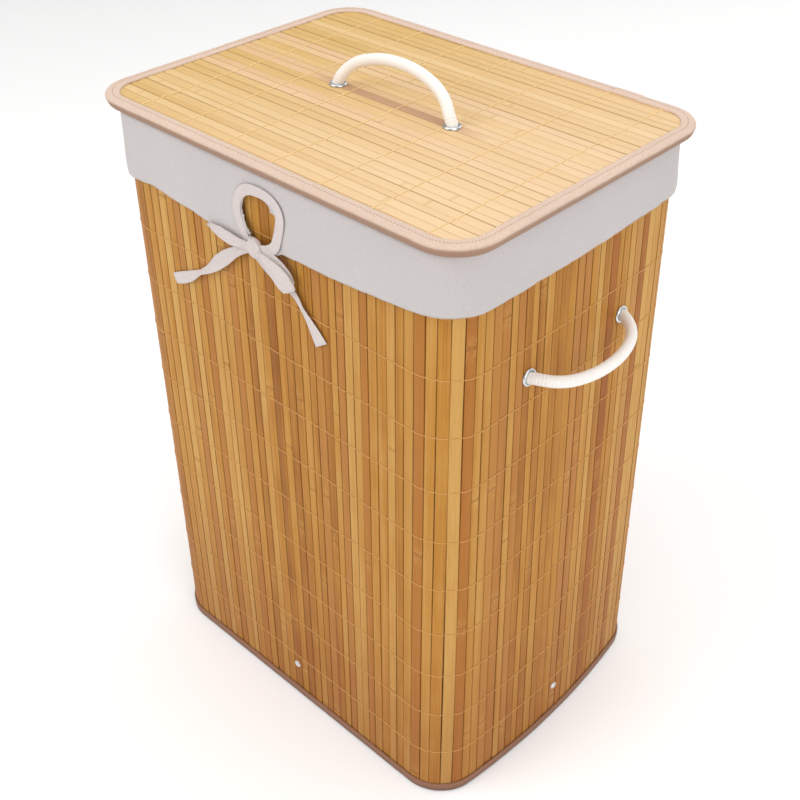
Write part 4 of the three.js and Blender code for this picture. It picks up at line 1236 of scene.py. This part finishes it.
class HAMPER_OT_bow(bpy.types.Operator):
    """Make the tape round the hole in the cuff and the bow tied under it"""

    bl_idname = "hamper.bow"
    bl_label = "Bow"

    # places of each tape: x, height, how far it stands proud of the wall and its width, in millimetres,
    # and for a tail its twist in degrees
    HOLE_TAPE = (
        (-9, 535, 6.4, 7), (-17, 539.6, 5.8, 8.5), (-21.1, 545.6, 5.5, 9.5), (-24.5, 552.7, 5.2, 9.5),
        (-26.2, 560.2, 5, 9.5), (-24.9, 568.2, 5, 9.5), (-20.2, 576.2, 5, 9.5), (-11.6, 582, 5, 9.5),
        (-1.4, 583.8, 5, 9.5), (8.6, 583.6, 5, 9.5), (17, 581.4, 5, 9.5), (22.6, 577.4, 5.1, 9.5),
        (25.2, 571.8, 5.2, 9.5), (25.2, 565.2, 5.3, 9.5), (23.6, 558, 5.5, 9.5), (21.6, 550.9, 5.8, 9.5),
        (18.8, 544, 6, 9.5), (13.2, 538.6, 6.2, 9.5), (4.9, 535.7, 6.6, 8.5), (-3, 534.6, 7, 7),
    )
    LEFT_EAR = (
        (-8, 534.9, 8.6, 7), (-20.4, 533.8, 9, 8), (-33.5, 532.7, 8.6, 12), (-46.6, 533.3, 7.8, 11),
        (-57.3, 534.4, 7, 6), (-62.8, 535, 6.2, 1.5),
    )
    RIGHT_EAR = (
        (-0.5, 531.3, 8.5, 7), (8.3, 530.5, 9.6, 8.5), (16.3, 527.8, 10.2, 13), (23, 523.5, 9.8, 18.5),
        (27.8, 518.7, 9, 21.5), (31, 513.9, 7.8, 21), (33.1, 510, 6.5, 17),
    )
    UNDER_LAYER = (
        (-1.5, 533.3, 6.5, 6), (8.8, 533.8, 7.2, 8), (17.5, 532.1, 7.4, 9), (26, 528.5, 7, 9),
        (33.1, 523.1, 6.4, 8), (37, 517.4, 5.8, 5),
    )
    LEFT_TAIL = (
        (-11.4, 530.8, 6.5, 6, 0), (-23.1, 525.5, 5.5, 8, 0), (-34.7, 518.1, 4.8, 9.5, 4),
        (-48.5, 507.7, 3.8, 13, 6), (-62.9, 496.1, 3, 13, 8), (-74.9, 486.1, 2.8, 8.5, 24),
        (-86, 478.6, 3.2, 5, 34), (-100.8, 468.8, 2.5, 9.5, 14), (-115.2, 461, 2.1, 11.5, 4),
        (-127.6, 455.4, 1.8, 10.5, 0),
    )
    RIGHT_TAIL = (
        (-6.5, 525.8, 5, 6, 0), (2.4, 517.5, 3.2, 7, 0), (15.7, 511.8, 2.6, 8, 0),
        (27.5, 509.2, 2.6, 8.5, 4), (34.9, 505.3, 2.6, 9, 10), (42.6, 496.7, 2.8, 6.5, 16),
        (48.5, 489.4, 2.4, 8, 6), (55.6, 479.7, 2, 12, 0), (62.2, 470, 1.8, 16, 0),
    )
    KNOT_TALL, KNOT_WIDE, KNOT_DEEP, KNOT_PROUD = 9.4, 7.4, 4.8, 7.2  # half sizes, and its middle

    def execute(self, context):
        tape = woven("Tie tape", colours().tie, thread=0.75 * MM, depth=0.16 * MM, soil=0.08, twill=True)
        self.hole_tape(tape)
        self.ears(tape)
        self.tails(tape)
        self.knot(tape)
        return {"FINISHED"}

    def hole_tape(self, tape):
        """The tape follows the hole's outline from the knot over the top and back under it to the knot."""
        piece, _ = ribbon("hole_tape", self.HOLE_TAPE, cup=0.06, thick=0.9, count=110)
        settle(piece, tape, "hamper", "tie_tape", "hole_binding")

    def ears(self, tape):
        """Each ear is a stuffed fold of tape that widens from the knot, and the right one shows its under
        layer along its upper edge."""
        piece, _ = ribbon("bow_left_ear", self.LEFT_EAR, cup=0.04, thick=4.2, full=0.9, count=64)
        settle(piece, tape, "hamper", "tie_tape", "bow_left_loop")
        piece, _ = ribbon("bow_right_ear", self.RIGHT_EAR, cup=0.05, thick=4.6, full=0.85, count=64)
        settle(piece, tape, "hamper", "tie_tape", "bow_right_loop")
        piece, _ = ribbon("bow_right_under_layer", self.UNDER_LAYER, twist=-12.0, thick=1.2, full=0.2)
        settle(piece, tape, "hamper", "tie_tape")

    def tails(self, tape):
        """The two free ends, which lie against the slats on their way down."""
        for node, rows in (("bow_left_tail", self.LEFT_TAIL), ("bow_right_tail", self.RIGHT_TAIL)):
            rows = np.array(rows, float)
            piece, line = ribbon(f"{node}_tape", rows[:, :4], rows[:, 4], cup=0.06)
            settle(piece, tape, "hamper", "tie_tape", node)

    def knot(self, tape):
        """A lump wrapped by one slanting turn of tape: an ellipsoid over latitude and longitude with
        creases that run down its face and a waist where it is pulled in."""
        up = np.linspace(-QUARTER, QUARTER, 33)[:, None]
        turn = np.linspace(0, 2 * math.pi, 49)
        swell = 1 + 0.07 * np.cos(3 * turn + 2.6 * up) + 0.05 * np.sin(7 * turn - 1.8 * up)
        z = self.KNOT_TALL * np.sin(up) * (1 + 0.05 * np.cos(2 * turn))
        x = self.KNOT_WIDE * np.cos(up) * np.cos(turn) * swell - 0.22 * z
        proud = self.KNOT_PROUD + self.KNOT_DEEP * np.cos(up) * np.sin(turn) * swell
        points = on_front(np.stack([x + KNOT[0], z + 0.15 * x + KNOT[1], proud], -1))
        uv = spread(turn * 7 * MM, up * 9 * MM)
        piece = build("tie_knot", points, uv)
        settle(piece, tape, "hamper", "tie_tape", "bow_knot")


# ---- Rope handles and their eyelets ----

def lid_frame(x):
    """The frame at an eyelet of the lid."""
    return (np.array([x, 0, LID_MAT_TOP]), np.array([1.0, 0, 0]), np.array([0, 1.0, 0]),
            np.array([0, 0, 1.0]))


def handle_frames(handle):
    """The two eyelets' frames of a handle, the first one at the start of its arch."""
    half = sizes().handle_span / 2
    if handle == "lid":
        return [lid_frame(-half), lid_frame(half)]
    return [wall_frame(handle, end * half, HANDLE_HEIGHT) for end in (-1, 1)]


def leaning(degrees):
    """A direction so many degrees off the surface's own, as shares of outwards and of the frame's up."""
    return math.cos(math.radians(degrees)), math.sin(math.radians(degrees))


# for each handle: its bodies, its eyelets' names, how deep the eyelets reach, and the direction that its
# arch rises in
HANDLES = {
    "lid": ("lid", "lid_handle", ("left", "right"), 8.0 * MM, leaning(22)),
    "left": ("hamper", "left_handle", ("first", "second"), 4.4 * MM, leaning(-10)),
    "right": ("hamper", "right_handle", ("first", "second"), 4.4 * MM, leaning(-10)),
}


class HAMPER_OT_eyelets(bpy.types.Operator):
    """Make the six rolled eyelets and the washers behind them"""

    bl_idname = "hamper.eyelets"
    bl_label = "Eyelets"

    def execute(self, context):
        nickel = plated("Nickel", colours().nickel, 0.16)
        for handle, (body, _, ends, depth, _) in HANDLES.items():
            deep = depth / MM
            for end, place in zip(ends, handle_frames(handle)):
                self.eyelet(f"{handle}_handle_{end}", place, deep, nickel, body)
        return {"FINISHED"}

    def eyelet(self, name, place, deep, nickel, body):
        """A rolled flange over a thin barrel, and a dished washer behind the wall."""
        outer = EYELET_RADIUS / MM + 0.4
        profile = ((5.35, 0.6), (5.5, 1.3), (5.95, 1.85), (6.6, 2.0), (7.2, 1.75), (outer - 0.15, 1.1),
                   (outer, 0.35), (outer - 0.5, 0.1), (6.0, 0.15), (5.9, -deep - 1.3), (5.3, -deep - 1.3),
                   (5.35, 0.6))
        piece = turned(f"{name}_flange", profile, place, sides=48, crease=1.2)
        settle(piece, nickel, body, "nickel", f"{name}_eyelet")
        ring = ((6.2, -deep - 1.3), (6.6, -deep - 1.7), (7.6, -deep - 1.6), (8.5, -deep - 0.9),
                (8.5, -deep - 0.35), (6.2, -deep - 0.35), (6.2, -deep - 1.3))
        washer = turned(f"{name}_ring", ring, place, sides=48, crease=0.9)
        settle(washer, nickel, body, "nickel", f"{name}_washer")


class HAMPER_OT_handles(bpy.types.Operator):
    """Make the three rope handles with the knots that hold their ends"""

    bl_idname = "hamper.handles"
    bl_label = "Rope Handles"

    # half of an arch: across in millimetres from its middle, as shares of the half span, and height over
    # the surface as a share of the arch
    FOOT = ((1.0, -8.0), (1.0, -3.0), (1.0, 1.5), (0.975, 5.0))
    ARCH = ((0.925, 0.11), (0.85, 0.34), (0.70, 0.62), (0.48, 0.84), (0.24, 0.965), (0.0, 1.0))
    END = 6 * MM  # the rope ends this far behind its eyelet
    SIDES, STATIONS = 32, 260
    RELIEF = 0.02  # of the braid, as a share of the rope's radius
    BEND = (2 * MM, 15 * MM)  # over the surface, where the rope turns from its wall to its arch
    KNOT_MIDDLE = 9.5 * MM  # how far a stopper knot's middle is behind its eyelet
    KNOT_TALL, KNOT_WIDE = 7.0 * MM, 9.3 * MM  # its half sizes
    WRAPS, SLANT = 3, 4.2  # wraps of a stopper knot and how they slant

    def execute(self, context):
        rope = braided("Rope", colours().rope)
        for handle in HANDLES:
            self.rope(handle, rope)
        return {"FINISHED"}

    def rope(self, handle, material):
        """Up through one eyelet, over the arch and down through the other. The section is a circle with
        the low relief of two crossing sets of eight strands."""
        size = sizes()
        body, swing, ends, depth, lift = HANDLES[handle]
        frames = handle_frames(handle)
        feet = np.array([place[0] for place in frames])
        out = unit(frames[0][3] + frames[1][3])
        rise = lift[0] * out + lift[1] * frames[0][2]
        middle, along = feet.mean(0), unit(feet[1] - feet[0])
        half = np.linalg.norm(feet[1] - feet[0]) / 2
        low = [(-share * half, height * MM) for share, height in self.FOOT]
        low[0] = (low[0][0], -depth - self.END)
        high = [(-share * half, SWING_HEIGHT + size.handle_rise * height) for share, height in self.ARCH]
        left = low + high
        places = left + [(-across, height) for across, height in reversed(left[:-1])]
        line = np.array([
            middle + across * along + min(height, SWING_HEIGHT) * out
            + max(height - SWING_HEIGHT, 0) * rise for across, height in places])
        line = route(line, self.STATIONS)
        travel = unit(np.gradient(line, axis=0))
        flank = unit(np.cross(out * lift[0] + frames[0][2] * lift[1], along))
        up = unit(np.cross(travel, flank))
        side = np.cross(up, travel)
        at = travelled(line)
        turn = np.linspace(0, 2 * math.pi, self.SIDES + 1)
        strand, pitch = BRAID_STRANDS * turn, 2 * math.pi * at[:, None] / BRAID_PITCH
        weave = np.sin(strand + pitch) * np.sin(strand - pitch)
        radius = size.rope / 2 * (0.985 - self.RELIEF * weave)
        section = np.stack([radius * np.cos(turn), radius * np.sin(turn)], -1)
        points = sweep(line, side, up, section)
        uv = spread(at[:, None], turn / (2 * math.pi))
        name = f"{handle}_handle"
        piece = build(f"{name}_rope_cotton", capped(points), capped(uv))
        settle(piece, material, None, "rope", f"{name}_rope")
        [tuple(middle + out * height) for height in self.BEND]
        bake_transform(piece)
        for end, place in zip(ends, frames):
            self.knot(f"{name}_{end}", place, depth, material, body)

    def knot(self, name, place, depth, material, body):
        """A stopper knot: a squat ball over latitude and longitude, whose surface swells into slanting
        wraps."""
        origin, side, up_wall, out = place
        up = np.linspace(-QUARTER, QUARTER, 41)[:, None]
        turn = np.linspace(0, 2 * math.pi, 61)
        wrap = self.WRAPS * turn + self.SLANT * up
        radius = self.KNOT_WIDE * np.cos(up) ** 0.8 * (1 + 0.10 * np.sin(wrap) * np.cos(up))
        height = self.KNOT_TALL * np.sin(up) + 0.6 * MM * np.cos(wrap) * np.cos(up)
        height = height - depth - self.KNOT_MIDDLE
        ring = np.cos(turn)[:, None] * side + np.sin(turn)[:, None] * up_wall
        points = origin + ring * radius[..., None] + out * height[..., None]
        uv = spread(up * 9 * MM, turn / (2 * math.pi))
        piece = build(f"{name}_stopper", points, uv)
        settle(piece, material, body, "rope", f"{name}_knot")


# ---- Hinge tabs ----

class HAMPER_OT_hinge_tabs(bpy.types.Operator):
    """Make the two cloth tabs that the lid swings on"""

    bl_idname = "hamper.hinge_tabs"
    bl_label = "Hinge Tabs"

    # distance back from the wall's face at the rim and height, up the cuff and on to the lid's edge
    SECTION = ((5.9, 557), (5.2, 570), (4.6, 584), (4.6, 592), (5.6, 595.4), (8.0, 597.6), (9.6, 599.0),
               (10.1, 601.0), (10.1, 604.0), (9.9, 607.0))
    HALF_CLOTH = 0.55 * MM
    HINGE, BEND = 599 * MM, 1.6 * MM  # height of the tab's bend, and how far it reaches each way
    STITCH, STITCH_PITCH = 2.3 * MM, 3.2 * MM
    STITCHED = (3, 12)  # stations of the tab's line where it is sewn to the cuff

    def execute(self, context):
        size = sizes()
        cloth = woven("Tab cotton", colours().cotton, CLOTH_THREAD, CLOTH_DEPTH)
        thread = spun("Tab stitching", colours().tab_stitch, STITCH_TWIST)
        back = size.rim_depth / 2
        section = np.array(self.SECTION) * MM
        line = route(np.c_[0 * section[:, 0], section[:, 0] + back, section[:, 1]], 50)
        hinge = line[np.argmin(np.abs(line[:, 2] - self.HINGE))][1]
        for side in ("left", "right"):
            low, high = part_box(f"{side}_hinge_tab")
            middle, half = (low.x + high.x) / 2, (high.x - low.x) / 2
            travel = unit(np.gradient(line, axis=0))
            across = np.tile([1.0, 0, 0], (len(line), 1))
            outwards = np.cross(across, travel)
            a = np.array([-1, -0.985, -0.5, 0, 0.5, 0.985, 1, 0.985, 0.5, 0, -0.5, -0.985, -1])
            r = np.array([0, 1, 1, 1, 1, 1, 0, -1, -1, -1, -1, -1, 0])
            points = sweep(line + [middle, 0, 0], across, outwards, np.c_[a * half, r * self.HALF_CLOTH])
            at = travelled(line)
            uv = spread(a * half, at[:, None])
            piece = build(f"{side}_tab", capped(points), capped(uv))
            settle(piece, cloth, None, "cotton_cloth", f"{side}_hinge_tab")
            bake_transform(piece)
            self.stitching(side, line, outwards, middle, half, thread)
        return {"FINISHED"}

    def stitching(self, side, line, outwards, middle, half, thread):
        """Rows of stitches across the tab's sewn end."""
        x = np.arange(middle - half + 3 * MM, middle + half - 4 * MM, self.STITCH_PITCH)
        rows, facings = [], []
        for i in self.STITCHED:
            point = line[i] + outwards[i] * self.HALF_CLOTH
            across = np.tile(point[1:], (len(x), 1))
            rows.append(np.stack([np.c_[x + t, across] for t in (0, self.STITCH)], 1))
            facings.append(np.tile(outwards[i], (len(x), 1)))
        piece = stitches(f"{side}_tab_stitches", np.concatenate(rows), np.concatenate(facings), self.STITCH,
                         0.7 * MM)
        settle(piece, thread, "hamper", "cotton_cloth")


# ---- Add-on ----

OPERATORS = (
    HAMPER_OT_stage, HAMPER_OT_bow, HAMPER_OT_body_mat, HAMPER_OT_bindings, HAMPER_OT_base, HAMPER_OT_bag,
    HAMPER_OT_eyelets, HAMPER_OT_handles, HAMPER_OT_lid_mat, HAMPER_OT_hinge_tabs,
)


class HAMPER_PT_pieces(bpy.types.Panel):
    """Lists the hamper's pieces, sizes and colours"""

    bl_idname = "HAMPER_PT_pieces"
    bl_label = "Laundry Hamper"
    bl_space_type = "VIEW_3D"
    bl_region_type = "UI"
    bl_category = "Hamper"

    def draw(self, context):
        for operator in OPERATORS:
            self.layout.operator(operator.bl_idname)
        for group in (context.scene.hamper_sizes, context.scene.hamper_colours):
            column = self.layout.column()
            for name in group.__annotations__:
                column.prop(group, name)


CLASSES = (HamperSizes, HamperColours, *OPERATORS, HAMPER_PT_pieces)


def register():
    for each in CLASSES:
        bpy.utils.register_class(each)
    bpy.types.Scene.hamper_sizes = PointerProperty(type=HamperSizes)
    bpy.types.Scene.hamper_colours = PointerProperty(type=HamperColours)


def unregister():
    del bpy.types.Scene.hamper_colours
    del bpy.types.Scene.hamper_sizes
    for each in reversed(CLASSES):
        bpy.utils.unregister_class(each)


def main():
    register()
    for operator in OPERATORS:
        group, name = operator.bl_idname.split(".")
        getattr(getattr(bpy.ops, group), name)()


if __name__ == "__main__":
    main()
